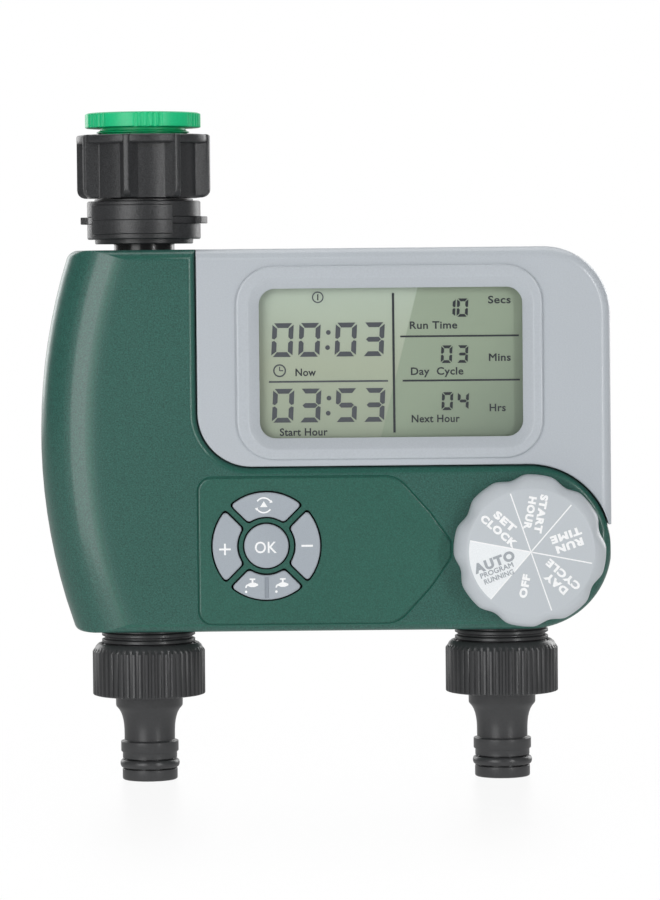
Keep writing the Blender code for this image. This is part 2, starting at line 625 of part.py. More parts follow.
def batteries():
    """Two cells head to tail in a tray, with a spring and a plate at each end."""
    tray = box("battery_tray", TRAY_X, TRAY_Y, TRAY_Z)
    inside = (grown(TRAY_X, -TRAY_WALL), grown(TRAY_Z, -TRAY_WALL))
    cut(tray, box("inside", inside[0], (TRAY_Y[0] + TRAY_WALL, 30.0), inside[1]))
    join(tray, box("rib", (50.0, 91.5), (TRAY_Y[0] + 0.5, 9.5), (-68.6, -67.4)))
    finish(tray, DARK_PLASTIC)
    cell = [(0, 47.0), (CELL_RADIUS, 47.0), (CELL_RADIUS, 96.2), (2.7, 96.2), (2.7, 97.2), (0, 97.2)]
    plate = (97.5, 98.1)
    spring = (44.3, 46.2)
    for number, z in enumerate(CELL_Z, start=1):
        turn = (lambda x: x) if number == 1 else mirrored_in_tray
        profile = [(radius, turn(x)) for radius, x in cell]
        finish(turned(f"battery_{number}", "X", (CELL_Y, z), profile, 16), CELL_WRAP)
        coil = coil_spring(f"battery_spring_{number}", "X", (CELL_Y, z), (5.0, 2.6), [turn(x) for x in spring], 2.5, 0.35)
        finish(coil, STEEL)
        finish(box(f"battery_contact_{number}", sorted(map(turn, plate)), (8.0, 18.0), (z - 5.0, z + 5.0)), STEEL)


def battery_cover():
    """The lift-off back cover, its seal and its two captive screws."""
    middle = (70.75, COVER_Y[0], COVER_SCREW_Z)
    outer = rounded_rectangle(COVER_X, COVER_Z, 5.0)
    soft = rounded_rectangle(grown(COVER_X, -0.8), grown(COVER_Z, -0.8), 4.2)
    cover = stack("battery_cover", [(COVER_Y[0], outer), (COVER_Y[1] - 0.8, outer), (COVER_Y[1], soft)])
    hole = (grown(TRAY_X, -TRAY_WALL - 0.4), grown(TRAY_Z, -TRAY_WALL - 0.4))
    rib = box("rib", hole[0], (24.3, COVER_Y[0] + 0.5), hole[1])
    join(cover, cut(rib, box("middle", grown(hole[0], -1.6), (20, 30), grown(hole[1], -1.6))))
    for x in COVER_SCREW_X:
        cut(cover, rod("hole", "Y", (x, COVER_SCREW_Z), SCREW_SHANK + 0.4, 20, 30, 12))
        cut(cover, rod("seat", "Y", (x, COVER_SCREW_Z), 3.6, 27.1, 30, 16))
    finish(cover, GREEN_BODY, middle)
    finish(seal_frame("battery_cover_seal", 0.0, (25.25, 26.05)), BLACK_RUBBER)
    for number, x in enumerate(COVER_SCREW_X, start=1):
        body = screw(f"battery_cover_screw_{number}", (x, COVER_SCREW_Z), 16.0, 27.4, 28.9, 3.2)
        finish(body, STEEL, (x, COVER_Y[0], COVER_SCREW_Z))


# Waterways and valves

def outlet_stub(name, x):
    """A male threaded outlet, its turns drawn as plain ridges."""
    profile = [(0, -140.8), (STUB_RADIUS, -140.8)]
    for i in range(2):
        top = CASE_BOTTOM - 0.4 - i * THREAD_PITCH
        profile += [(STUB_RADIUS, top), (STUB_ROOT, top - 0.7), (STUB_RADIUS, top - 1.4)]
    return turned(name, "Z", (x, 0), profile + [(STUB_RADIUS, STUB_END), (0, STUB_END)], 24)


def water_manifold():
    """The inlet pipe, both valve chambers, the gallery between them and both outlets, in one piece.

    Pipes that meet at right angles are turned half a step so that their edges never cross.
    """
    body = rod("water_manifold", "Z", (INLET_X, 0), INLET_PIPE, INLET_TOP, INLET_END, 18)
    join(body, rod("duct", "Z", (INLET_X, DUCT_Y), DUCT_RADIUS, -100, VALVE_Z + 8, 12))
    for x in VALVE_X:
        join(body, rod("chamber", "Y", (x, VALVE_Z), CHAMBER_RADIUS, *CHAMBER_Y, 20, 0.5))
    join(body, rod("gallery", "X", (DUCT_Y, VALVE_Z), DUCT_RADIUS, VALVE_X[0] + 8.3, VALVE_X[1] - 8.3, 12))
    for x in VALVE_X:
        join(body, rod("down", "Z", (x, DUCT_Y), DUCT_RADIUS - 0.2, VALVE_Z - 7.1, -140, 12))
        join(body, rod("neck", "Z", (x, 0), 10.8, -137.3, -142, 16, 0.5), outlet_stub("stub", x))
    cut(body, rod("inlet", "Z", (INLET_X, 0), INLET_BORE, INLET_TOP + 5, -101.5, 14))
    cut(body, rod("duct", "Z", (INLET_X, DUCT_Y), DUCT_BORE, -100.5, VALVE_Z + 9.2, 10))
    cut(body, rod("gallery", "X", (DUCT_Y, VALVE_Z), DUCT_BORE, VALVE_X[0] + 9.1, VALVE_X[1] - 9.1, 10))
    for x in VALVE_X:
        cut(body, tube("pocket", "Y", (x, VALVE_Z), POCKET_RADIUS, SEAT_RADIUS, POCKET_FLOOR, 10, 16, 0.5))
        cut(body, rod("channel", "Z", (x, CHANNEL_Y), CHANNEL_RADIUS, VALVE_Z + 0.4, -141, 10))
        cut(body, rod("seat", "Y", (x, VALVE_Z), SEAT_BORE, CHANNEL_Y - 0.5, 10, 10, 0.5))
        cut(body, rod("outlet", "Z", (x, 0), STUB_BORE, -139.3, -165, 16))
    return finish(body, DARK_PLASTIC)


def valve(side, x):
    """Diaphragm, bonnet, coil, plunger and spring of one solenoid valve."""
    centre = (x, VALVE_Z)
    skin_profile = [(0, 4.6), (13.8, 4.6), (13.8, 6.2), (10.6, 6.2), (9.0, 5.4), (7.0, 6.2), (0, 6.2)]
    finish(turned(f"{side}_diaphragm", "Y", centre, skin_profile, 20), BLACK_RUBBER)
    guide = [(0, 20.0), (3.3, 20.1), (3.3, 6.6), (14.5, 6.6), (14.5, 9.0), (4.5, 9.0), (4.5, 21.2), (0, 21.2)]
    finish(turned(f"{side}_bonnet", "Y", centre, guide, 18), DARK_PLASTIC)
    finish(tube(f"{side}_coil", "Y", centre, 9.5, 4.9, 9.4, 19.4), COPPER_RED)
    pivot = (x, 7.5, VALVE_Z)
    plunger = [(0, 7.5), (1.4, 7.5), (3.0, 8.6), (3.0, 16.0), (0, 16.0)]
    finish(turned(f"{side}_plunger", "Y", centre, plunger, 16), STEEL, pivot)
    finish(coil_spring(f"{side}_plunger_spring", "Y", centre, (2.2, 2.2), (16.6, 19.4), 3, 0.28, 8), STEEL, pivot)


# Inlet: tap adapter, swivel nut, sleeve, strainer, collar and clip

def grip_edge(degrees):
    """The adapter's rim: eight groups of fine ridges with plain rim between."""
    within = degrees % 45
    if not 9 < within < 36:
        return ADAPTER_RADIUS
    return ADAPTER_RADIUS - (0.45 if round(within / 3.75) % 2 else 0.0)


def tap_adapter():
    """The bright threaded adapter that screws onto the tap, and its washer."""
    rim = (grip_edge, 96)
    thread = []
    for i in range(2):
        top = ADAPTER_FLANGE - i * THREAD_PITCH
        thread += [(12.3, top), (12.3, top - 0.5), (ADAPTER_THREAD, top - 1.1)]
    profile = [
        (10.5, 0.0), (15.4, 0.0), (rim, -0.5), (rim, ADAPTER_FLANGE + 0.4), *thread,
        (ADAPTER_THREAD, ADAPTER_END), (7.0, ADAPTER_END), (7.0, -12.0), (10.5, -12.0),
    ]
    finish(turned("tap_adapter", "Z", (0, 0), profile, 24), GREEN_BRIGHT, (0, 0, 0))
    finish(tube("adapter_washer", "Z", (0, 0), 10.2, 7.4, -11.7, -10.2), BLACK_RUBBER, (0, 0, 0))


def fluted_outline(limit):
    """The nut's eight ribs and flat flutes, no wider than limit."""
    points = []
    for rib in range(8):
        middle = NUT_FIRST_RIB + 45 * rib
        tip, floor_radius, floor_angle = math.degrees(0.7 / NUT_RADIUS), math.hypot(15.5, 3.4), 12.4
        for radius, degrees in (
            (NUT_RADIUS, middle - tip), (NUT_RADIUS, middle + tip),
            (floor_radius, middle + 22.5 - floor_angle), (floor_radius, middle + 22.5 + floor_angle),
        ):
            angle, radius = math.radians(degrees), min(radius, limit)
            points.append((radius * math.sin(angle), -radius * math.cos(angle)))
    return points


def inlet_nut():
    """The black swivel nut: a round rim over eight grip ribs."""
    full = fluted_outline(NUT_RADIUS)
    layers = [(NUT_TOP - 1.0, full), (NUT_BOTTOM + 2.0, full), (NUT_BOTTOM + 0.6, fluted_outline(18.5))]
    nut = stack("inlet_nut", layers + [(NUT_BOTTOM, fluted_outline(17.1))], "Z")
    rim = [(0, NUT_TOP), (NUT_RADIUS - 0.5, NUT_TOP), (NUT_RADIUS + 0.05, NUT_TOP - 0.5)]
    rim += [(NUT_RADIUS + 0.05, NUT_TOP - 1.7), (NUT_RADIUS - 0.4, NUT_TOP - 2.1), (0, NUT_TOP - 2.1)]
    join(nut, turned("rim", "Z", (0, 0), rim, 48))
    cut(nut, rod("bore", "Z", (0, 0), ADAPTER_THREAD + 0.3, -22.3, 0, 32), rod("neck", "Z", (0, 0), 9.4, -30, -20))
    finish(nut, BLACK_PLASTIC, (0, 0, NUT_BOTTOM))
    finish(tube("nut_washer", "Z", (0, 0), 12.6, 7.2, -19.7, -17.7), BLACK_RUBBER, (0, 0, -18.7))


def inlet_sleeve():
    """The flanged sleeve the nut pulls up, and the strainer cup inside it."""
    profile = [(6.5, -33.0), (8.9, -33.0), (8.9, -22.0), (12.6, -22.0), (12.6, -20.0), (8.3, -20.0), (8.3, -21.3), (6.5, -21.3)]
    finish(turned("inlet_sleeve", "Z", (0, 0), profile, 24), DARK_PLASTIC)
    strainer = [
        (0, -31.0), (3.2, -31.0), (6.1, -21.1), (7.9, -21.0), (7.9, -20.2), (5.5, -20.2), (2.6, -30.4), (0, -30.4),
    ]
    finish(turned("inlet_filter", "Z", (0, 0), strainer), STEEL)


def round_outline(inner, outer, start, end, steps):
    """A ring sector in X and Y, its angles in degrees from -Y toward +X."""
    return [(-z, -x) for x, z in sector_outline(inner, outer, -end, -start, 0.0, steps)]


def swivel_collar():
    """The black collar under the nut, and the clip in its groove."""
    groove = (CLIP_Z[0] - 0.3, CLIP_Z[1] + 0.3)
    profile = [
        (9.2, -24.2), (13.9, -24.2), (13.9, -24.8), (COLLAR_RADIUS, -24.8), (COLLAR_RADIUS, groove[1]),
        (12.2, groove[1]), (12.2, groove[0]), (COLLAR_RADIUS, groove[0]), (COLLAR_RADIUS, -35.5),
        (13.8, -35.5), (13.8, -36.8), (9.2, -36.8),
    ]
    collar = turned("swivel_collar", "Z", (0, 0), profile, 32)
    for start in (-59, 121):
        points = round_outline(15.7, PANEL_RADIUS, start, start + 90, 8)
        join(collar, stack("panel", [(-34.1, points), (-25.85, points)], "Z"))
    finish(collar, BLACK_PLASTIC)
    open_at = CLIP_TAB_ANGLE + 90
    ring = round_outline(12.6, 15.4, open_at + 25, open_at + 335, 20)
    clip = stack("locking_clip", [(CLIP_Z[0], ring), (CLIP_Z[1], ring)], "Z")
    for middle in (CLIP_TAB_ANGLE, CLIP_TAB_ANGLE - 180):
        points = round_outline(14.0, 18.0, middle - 10, middle + 10, 3)
        join(clip, stack("tab", [(CLIP_Z[0], points), (CLIP_Z[1], points)], "Z"))
    finish(clip, DARK_PLASTIC)


# Outlets

def rib_edge(degrees):
    """The connector's fine grip ribs."""
    return CONNECTOR_RADIUS if round(degrees * CONNECTOR_RIBS / 180) % 2 == 0 else CONNECTOR_ROOT


def connector(side, x):
    """A ribbed quick-connect outlet with its washer and O-ring."""
    ribs = (rib_edge, CONNECTOR_RIBS * 2)
    profile = [
        (STUB_RADIUS + 0.4, -149.6), (14.5, -149.6), (ribs, -151.8), (ribs, -164.9), (9.35, -165.2),
        (9.35, -168.7), (7.15, -169.9), (7.15, -177.3), (8.15, -177.3), (8.15, -180.4), (7.7, -180.4),
        (7.7, -182.3), (6.6, -182.3), (6.6, -185.3), (7.8, -185.3), (7.3, -188.4), (4.9, -188.4),
        (4.9, -160.3), (STUB_RADIUS + 0.4, -160.3),
    ]
    pivot = (x, 0, -149.6)
    finish(turned(f"{side}_connector", "Z", (x, 0), profile, 27), DARK_PLASTIC, pivot)
    finish(tube(f"{side}_connector_washer", "Z", (x, 0), 13.1, 8.6, -160.0, -157.8), BLACK_RUBBER, pivot)
    ring = [(6.8, -183.8), (7.2, -182.6), (8.0, -182.6), (8.4, -183.8), (8.0, -185.0), (7.2, -185.0)]
    finish(turned(f"{side}_connector_oring", "Z", (x, 0), ring, 20), BLACK_RUBBER, pivot)


def main():
    clear_scene()
    front_housing()
    display_bezel()
    rear_housing()
    case_screws()
    display_stack()
    keys()
    selector()
    batteries()
    battery_cover()
    water_manifold()
    tap_adapter()
    inlet_nut()
    inlet_sleeve()
    swivel_collar()
    for side, x in zip(("left", "right"), VALVE_X):
        valve(side, x)
        connector(side, x)


main()
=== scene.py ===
"""The drip irrigation timer as photographed: detailed outer pieces and procedural plastics on the CAD frame.

Lengths are in millimetres and become metres as they reach Blender; only weld distances are in metres.
-Y is the front and Z is up.
"""
import math

import bmesh
import bpy
from mathutils import Euler, Matrix, Vector

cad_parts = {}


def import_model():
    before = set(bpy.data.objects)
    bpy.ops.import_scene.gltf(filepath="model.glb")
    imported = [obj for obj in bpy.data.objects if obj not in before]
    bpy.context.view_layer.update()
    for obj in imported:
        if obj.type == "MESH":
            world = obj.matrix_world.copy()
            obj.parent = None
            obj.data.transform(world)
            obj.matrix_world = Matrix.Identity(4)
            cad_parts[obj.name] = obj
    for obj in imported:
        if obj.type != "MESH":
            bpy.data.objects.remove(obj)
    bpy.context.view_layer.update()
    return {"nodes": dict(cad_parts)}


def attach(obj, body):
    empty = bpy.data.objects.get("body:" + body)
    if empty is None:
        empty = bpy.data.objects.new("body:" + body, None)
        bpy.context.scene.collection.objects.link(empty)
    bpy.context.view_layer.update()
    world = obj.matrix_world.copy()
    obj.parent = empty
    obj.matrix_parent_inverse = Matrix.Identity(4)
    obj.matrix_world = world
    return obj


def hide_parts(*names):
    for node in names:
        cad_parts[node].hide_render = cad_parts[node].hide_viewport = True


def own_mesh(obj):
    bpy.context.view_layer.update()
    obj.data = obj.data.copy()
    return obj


MM = 0.001

# Case
CASE_TOP, CASE_BOTTOM, CASE_RIGHT = -38.6, -145.0, 130.0
CASE_FRONT, CASE_BACK, PARTING = -24.0, 26.0, 0.15
BOW_RADIUS, BOW_X, BOW_Z = 164.0, -29.1, -90.5
FRONT_ROUND, LEFT_REACH, LEFT_DEPTH, BACK_ROUND = 3.3, 19.0, 15.2, 5.0
SPLIT_X, SPLIT_Z, SPLIT_RADIUS, SPLIT_GAP, LOBE_RADIUS = 14.9, -99.3, 15.3, 0.3, 22.85
BODY_EDGE, BEZEL_EDGE = 2.2, 0.6
INTERIOR_Y, POCKET_Y = (-18.0, 1.0), (-22.0, -17.9)
RING_X, RING_Z, RING_RADIUS, RING_FRONT = (26.1, 111.1), (-97.1, -43.5), 10.5, -25.0
WINDOW_X, WINDOW_Z, WINDOW_RADIUS = (32.5, 105.6), (-91.2, -49.7), 4.5
TRAY_X, TRAY_Z = (41.5, 100.0), (-85.2, -50.8)
COVER_X, COVER_Z, COVER_Y = (32.0, 109.5), (-87.7, -48.3), (26.3, 28.6)
COVER_SCREWS, COVER_SCREW_Z = (36.5, 105.0), -68.0
POSTS = ((-13.5, -48.5), (-18.5, -104.0), (62.0, -139.2), (120.0, -127.0), (21.0, -48.0), (118.0, -50.0))

# Controls
PAD_X, PAD_Z, OK_RADIUS, OK_HOLE = 34.0, -121.0, 6.15, 6.55
ARC_INNER, ARC_OUTER, ARC_EDGE, KEY_GAP = 8.1, 14.95, 1.15, 0.42
KEY_FRONT, KEY_PAINT_END, KEY_BACK = -24.8, -24.35, -17.3
PANEL_FRONT, GROOVE_FLOOR = -23.85, -23.5
KNOB_X, KNOB_Z, KNOB_RADIUS, KNOB_FACE = 107.0, -122.8, 21.1, -33.0
FIRST_LINE, SECTOR = -11.0, 60.0
DISPLAY_INK = -19.87

# Pipes
VALVE_X, PIPE_RADIUS, STUB_RADIUS = (0.0, 100.0), 8.55, 13.2
PITCH = 1.814
NUT_RADIUS, NUT_FLOOR, NUT_TURN = 19.3, 15.9, -57.0

# Light and colour
FLOOR = -188.45
FILL, DIM, UPLIGHT = 0.27, 0.12, 0.8
MIRROR_SHARE, MIRROR_START, MIRROR_END = 0.07, 70, 240
WHITE, WHITEST, FILM_LIFT, FLECK_SIZE = (1, 1, 1, 1), 0.97, 1.22, 0.55


def linear(*srgb):
    """A display colour, 0 to 255, as linear light."""
    return tuple(((v / 255 + 0.055) / 1.055) ** 2.4 if v > 10 else v / 255 / 12.92 for v in srgb)


def seen(*srgb):
    """A base colour from a display colour, kept below full white."""
    return tuple(min(WHITEST, value) for value in linear(*srgb))


# Materials

def node(tree, kind, **values):
    """Add a node. Values set attributes or, after 'in_', inputs by index or name; sockets are linked."""
    made = tree.nodes.new(kind)
    for key, value in values.items():
        if not key.startswith("in_"):
            setattr(made, key, value)
            continue
        key = key[3:]
        target = made.inputs[int(key) if key.isdigit() else key.replace("_", " ")]
        if isinstance(value, bpy.types.NodeSocket):
            tree.links.new(value, target)
        else:
            target.default_value = value
    return made


def feed(tree, shader, **sources):
    """Link sockets to a shader's inputs by name."""
    for key, source in sources.items():
        tree.links.new(source, shader.inputs[key.replace("_", " ")])


def blank(name):
    """A new material with its node tree and its Principled shader."""
    material = bpy.data.materials.new(name)
    material.use_nodes = True
    return material, material.node_tree, material.node_tree.nodes["Principled BSDF"]


def place_in(tree, kind="Object"):
    """The coordinate that textures read."""
    return node(tree, "ShaderNodeTexCoord").outputs[kind]


def ramp(tree, source, stops):
    """A colour ramp fed by source; stops are (position, colour)."""
    made = tree.nodes.new("ShaderNodeValToRGB")
    elements = made.color_ramp.elements
    elements[0].position, elements[0].color = stops[0][0], (*stops[0][1], 1)
    elements[1].position, elements[1].color = stops[-1][0], (*stops[-1][1], 1)
    for position, colour in stops[1:-1]:
        elements.new(position).color = (*colour, 1)
    tree.links.new(source, made.inputs[0])
    return made.outputs[0]


def ranged(tree, source, start, end, low, high, **more):
    """Map a value from start and end to low and high."""
    made = node(tree, "ShaderNodeMapRange", in_0=source, in_1=start, in_2=end, in_3=low, in_4=high, **more)
    return made.outputs[0]


def scaled(tree, value, factor, added=0.0):
    """A value times a factor, plus another value."""
    return node(
        tree, "ShaderNodeMath", operation="MULTIPLY_ADD", in_0=value, in_1=factor, in_2=added,
    ).outputs[0]


def mix(tree, blend, one, other, share=1.0):
    """Two colours brought together by a blend mode."""
    made = node(tree, "ShaderNodeMix", data_type="RGBA", blend_type=blend, in_0=share, in_6=one, in_7=other)
    return made.outputs[2]


def raised(tree, height, strength, distance):
    """A bump normal from a height; distance is in mm."""
    return node(
        tree, "ShaderNodeBump", in_Strength=strength, in_Distance=distance * MM, in_Height=height,
    ).outputs[0]


def plastic(
    name, colour, rough, grain=0.12, size=0.4, bump=0.02, cloud=0.06, metallic=0.0, coat=0.0, flecks=0.0,
):
    """Moulded plastic: fine grain of a size in mm, slow tone drift, uneven gloss and a leathery skin."""
    material, tree, shader = blank(name)
    shader.inputs["Metallic"].default_value = metallic
    shader.inputs["Coat Weight"].default_value = coat
    shader.inputs["Coat Roughness"].default_value = 0.12
    place = place_in(tree)
    fine = node(
        tree, "ShaderNodeTexNoise", in_Vector=place, in_Scale=1 / (size * MM), in_Detail=2.0,
        in_Roughness=0.6,
    )
    slow = node(tree, "ShaderNodeTexNoise", in_Vector=place, in_Scale=28.0, in_Detail=3.0)
    dark, light = [c * (1 - grain) for c in colour], [min(1.0, c * (1 + grain)) for c in colour]
    tone = ramp(tree, fine.outputs[0], [(0.3, dark), (0.5, colour), (0.7, light)])
    drift = ramp(tree, slow.outputs[0], [(0.3, [1 - cloud] * 3), (0.7, [1.0] * 3)])
    base = mix(tree, "MULTIPLY", tone, drift)
    if flecks:
        cells = node(tree, "ShaderNodeTexVoronoi", in_Vector=place, in_Scale=1 / (FLECK_SIZE * MM))
        spots = ramp(tree, cells.outputs["Distance"], [(0.12, [flecks] * 3), (0.3, [0.0] * 3)])
        base = mix(tree, "ADD", base, spots)
    gloss = ranged(tree, slow.outputs[0], 0.25, 0.75, rough * 0.94, min(1.0, rough * 1.08))
    feed(tree, shader, Base_Color=base, Roughness=gloss, Normal=raised(tree, fine.outputs[0], 0.5, bump))
    return material


def banded(name, colour, other, rough, metallic, period, axis, bump=0.03):
    """Fine turned or wound lines along one axis, for springs, windings and machined metal."""
    material = plastic(name, colour, rough, metallic=metallic, grain=0.08)
    tree = material.node_tree
    wave = node(
        tree, "ShaderNodeTexWave", bands_direction=axis, in_Vector=place_in(tree),
        in_Scale=0.314 / (period * MM), in_Distortion=0.4,
    ).outputs[0]
    tone = ramp(tree, wave, [(0.2, other), (0.7, colour)])
    feed(tree, tree.nodes["Principled BSDF"], Base_Color=tone, Normal=raised(tree, wave, 0.6, bump))
    return material


def film(*srgb):
    """The display film's base colour, lightened because the film lies in the shade of its frame."""
    return tuple(min(WHITEST, value * FILM_LIFT) for value in seen(*srgb))


def glare_painted_display(name):
    """Reflective display: pale green-grey film, its upper left side lighter than its lower right side past a
    slanted edge, a painted reflection of glare; both sides darken downward and the right side also
    rightward.
    """
    material = plastic(name, film(168, 181, 165), 0.5, grain=0.02, size=0.25, bump=0.002, cloud=0.02)
    tree = material.node_tree
    x, _, z = node(tree, "ShaderNodeSeparateXYZ", in_0=place_in(tree)).outputs
    down = ranged(tree, z, -50 * MM, -92 * MM, 0.0, 1.0)
    across = ranged(tree, x, 70 * MM, 107 * MM, 0.0, 1.0)
    both = scaled(tree, across, 0.45, scaled(tree, down, 0.55))
    left = ramp(
        tree, down, [(0.0, film(170, 183, 168)), (0.5, film(160, 169, 149)), (1.0, film(147, 158, 139))],
    )
    right = ramp(
        tree, both, [(0.0, film(146, 160, 140)), (0.5, film(138, 152, 132)), (1.0, film(110, 124, 108))],
    )
    # Past the slanted edge the left side takes the lighter ramp: painted reflection of glare on the window.
    side = ranged(tree, scaled(tree, z, -0.2536, x), 89.1 * MM, 89.4 * MM, 0.0, 1.0)
    feed(tree, tree.nodes["Principled BSDF"], Base_Color=mix(tree, "MIX", left, right, side))
    return material


def window_clear(name):
    """Clear acrylic: seen straight through, with a mirror skin that strengthens at a glance."""
    material, tree, shader = blank(name)
    shader.inputs["Metallic"].default_value = 1.0
    smears = node(
        tree, "ShaderNodeTexNoise", in_Vector=place_in(tree), in_Scale=60.0, in_Detail=4.0,
    ).outputs[0]
    facing = node(tree, "ShaderNodeLayerWeight", in_Blend=0.5).outputs["Facing"]
    steep = node(tree, "ShaderNodeMath", operation="POWER", in_0=facing, in_1=5.0).outputs[0]
    feed(
        tree, shader, Base_Color=ramp(tree, smears, [(0.3, (0.90, 0.93, 0.92)), (0.7, (0.98, 1.0, 0.99))]),
        Roughness=ranged(tree, smears, 0.3, 0.7, 0.015, 0.045),
        Alpha=ranged(tree, steep, 0.0, 1.0, 0.04, 1.0),
        Normal=raised(tree, smears, 0.1, 0.002),
    )
    return material


def printed(name, colour, rough=0.5):
    """Ink: nearly even, with a faint pad-print mottle."""
    return plastic(name, colour, rough, grain=0.05, size=0.3, bump=0.004, cloud=0.03)


def make_materials():
    """Every look in the scene by name."""
    return {
        "body": plastic("body_green", seen(43, 93, 83), 0.33, 0.4, 0.38, 0.05, 0.05, 0.0, 0.35, 0.015),
        "panel": plastic("panel_green", seen(36, 94, 81), 0.36, 0.26, 0.38, 0.03, 0.05, 0.0, 0.3, 0.015),
        "bezel": plastic("bezel_grey", seen(186, 192, 198), 0.32, 0.04, 0.4, 0.012, 0.02, 0.0, 0.2),
        "knob": plastic("knob_grey", seen(193, 199, 204), 0.40, 0.03, 0.3, 0.008, 0.02),
        "key": plastic("key_grey", seen(165, 173, 181), 0.45, 0.06, 0.25, 0.01, 0.02),
        # A darker grey for the valves key's groove floor: painted shade in the recess.
        "groove": plastic("groove_shade_grey", seen(143, 151, 160), 0.5, 0.05, 0.3, 0.008, 0.02),
        "bright": plastic("adapter_green", (0.002, 0.57, 0.225), 0.34, 0.05, 0.5, 0.01, 0.05),
        "black": plastic("inlet_black", (0.034, 0.035, 0.037), 0.30, 0.5, 0.35, 0.12, 0.1),
        "dark": plastic("outlet_dark", (0.050, 0.051, 0.053), 0.30, 0.16, 0.3, 0.012, 0.12),
        "inner": plastic("inner_dark", (0.035, 0.035, 0.037), 0.55, 0.12, 0.4, 0.02, 0.1),
        "stem": plastic("stem_black", (0.020, 0.020, 0.021), 0.22, 0.1, 0.4, 0.004, 0.1),
        "rubber": plastic("seal_rubber", (0.012, 0.012, 0.013), 0.75, 0.2, 0.2, 0.03, 0.15),
        "board": plastic("board_green", (0.015, 0.13, 0.05), 0.45, 0.15, 0.8, 0.02, 0.1, 0.0, 0.3),
        "wrap": plastic("cell_wrap", (0.03, 0.045, 0.11), 0.3, 0.05, 0.6, 0.004, 0.05, 0.0, 0.4),
        "shaft": plastic("shaft_white", (0.68, 0.68, 0.66), 0.5, 0.04, 0.4, 0.01, 0.04),
        "steel": banded("turned_steel", (0.58, 0.58, 0.60), (0.42, 0.42, 0.44), 0.3, 1.0, 0.35, "Y", 0.01),
        "mesh": banded("strainer_steel", (0.50, 0.50, 0.52), (0.08, 0.08, 0.08), 0.35, 1.0, 0.6, "Z", 0.08),
        "copper": banded("wound_copper", (0.50, 0.16, 0.06), (0.20, 0.05, 0.02), 0.35, 0.8, 0.5, "Y", 0.08),
        "display": glare_painted_display("glare_painted_display"),
        "window": window_clear("window_clear"),
        # The lighter segment ink is painted reflection, the glare on the display's left side; the deep ink
        # is the segments' own colour.
        "segment": printed("segment_ink", seen(76, 81, 88), 0.5),
        "deep_segment": printed("deep_segment_ink", seen(36, 42, 50), 0.5),
        "white": printed("white_ink", (0.95, 0.96, 0.97), 0.45),
        "grey_ink": printed("grey_ink", seen(165, 171, 177), 0.5),
        "sector": printed("sector_white", (0.85, 0.88, 0.90), 0.42),
    }


# Mesh building

def linked(name, data):
    """A new object in the scene."""
    obj = bpy.data.objects.new(name, data)
    bpy.context.scene.collection.objects.link(obj)
    return obj


def piece_from(name, bm, material, smooth=32):
    """Link a bmesh as a named piece with its faces turned outward."""
    bmesh.ops.recalc_face_normals(bm, faces=bm.faces)
    mesh = bpy.data.meshes.new(name)
    bm.to_mesh(mesh)
    bm.free()
    obj = linked(name, mesh)
    if material:
        mesh.materials.append(material)
    mesh.shade_smooth()
    mesh.set_sharp_from_angle(angle=math.radians(smooth))
    return obj


def skin(bm, one, other):
    """Faces between two closed rings whose point counts are equal or divide evenly."""
    if len(one) < len(other):
        one, other = other, one
    ratio = len(one) // len(other)
    for i in range(len(one)):
        nearest, following = other[i // ratio], other[(i + 1) // ratio % len(other)]
        corners = dict.fromkeys((one[i], one[(i + 1) % len(one)], following, nearest))
        if len(corners) > 2:
            bm.faces.new(corners)


def axis_point(axis, centre, across, angle, along):
    """A point in metres at a radius and angle round an axis; centre holds the other two coordinates."""
    c, s = across * math.cos(angle), across * math.sin(angle)
    if axis == "X":
        point = (along, centre[0] + c, centre[1] + s)
    elif axis == "Y":
        point = (centre[0] + c, along, centre[1] + s)
    else:
        point = (centre[0] + s, centre[1] - c, along)
    return tuple(value * MM for value in point)


def turned(name, axis, centre, profile, steps=64, material=None, smooth=32):
    """Revolve (radius, height) points. A radius may be (function of degrees, point count)."""
    bm = bmesh.new()
    rings = []
    for radius, along in profile:
        shape, count = radius if isinstance(radius, tuple) else (radius, steps)
        count = 1 if shape == 0 else count
        ring = []
        for i in range(count):
            across = shape(360 * i / count) if callable(shape) else shape
            ring.append(bm.verts.new(axis_point(axis, centre, across, math.tau * i / count, along)))
        rings.append(ring)
    for i, ring in enumerate(rings):
        following = rings[(i + 1) % len(rings)]
        if len(ring) > 1 or len(following) > 1:
            skin(bm, ring, following)
    return piece_from(name, bm, material, smooth)


def rod(axis, centre, radius, start, end, steps=48):
    """A plain cylinder, used as a cutter or a join."""
    return turned("tool", axis, centre, [(0, start), (radius, start), (radius, end), (0, end)], steps)


def stack(name, layers, axis="Y", material=None, smooth=32):
    """Join flat outlines, given as (height along axis, points), into one closed body."""
    bm = bmesh.new()
    rings = []
    for along, points in layers:
        order = (lambda u, v: (u, along, v)) if axis == "Y" else (lambda u, v: (u, v, along))
        rings.append([bm.verts.new([value * MM for value in order(u, v)]) for u, v in points])
    for one, other in zip(rings, rings[1:]):
        skin(bm, one, other)
    bm.faces.new(rings[0])
    bm.faces.new(rings[-1])
    return piece_from(name, bm, material, smooth)


def prism(points, start, end):
    """A straight body of one outline, as a tool."""
    return stack("tool", [(start, points), (end, points)])


def block(xs, ys, zs):
    """A box cutter."""
    return prism([(xs[0], zs[0]), (xs[1], zs[0]), (xs[1], zs[1]), (xs[0], zs[1])], *ys)


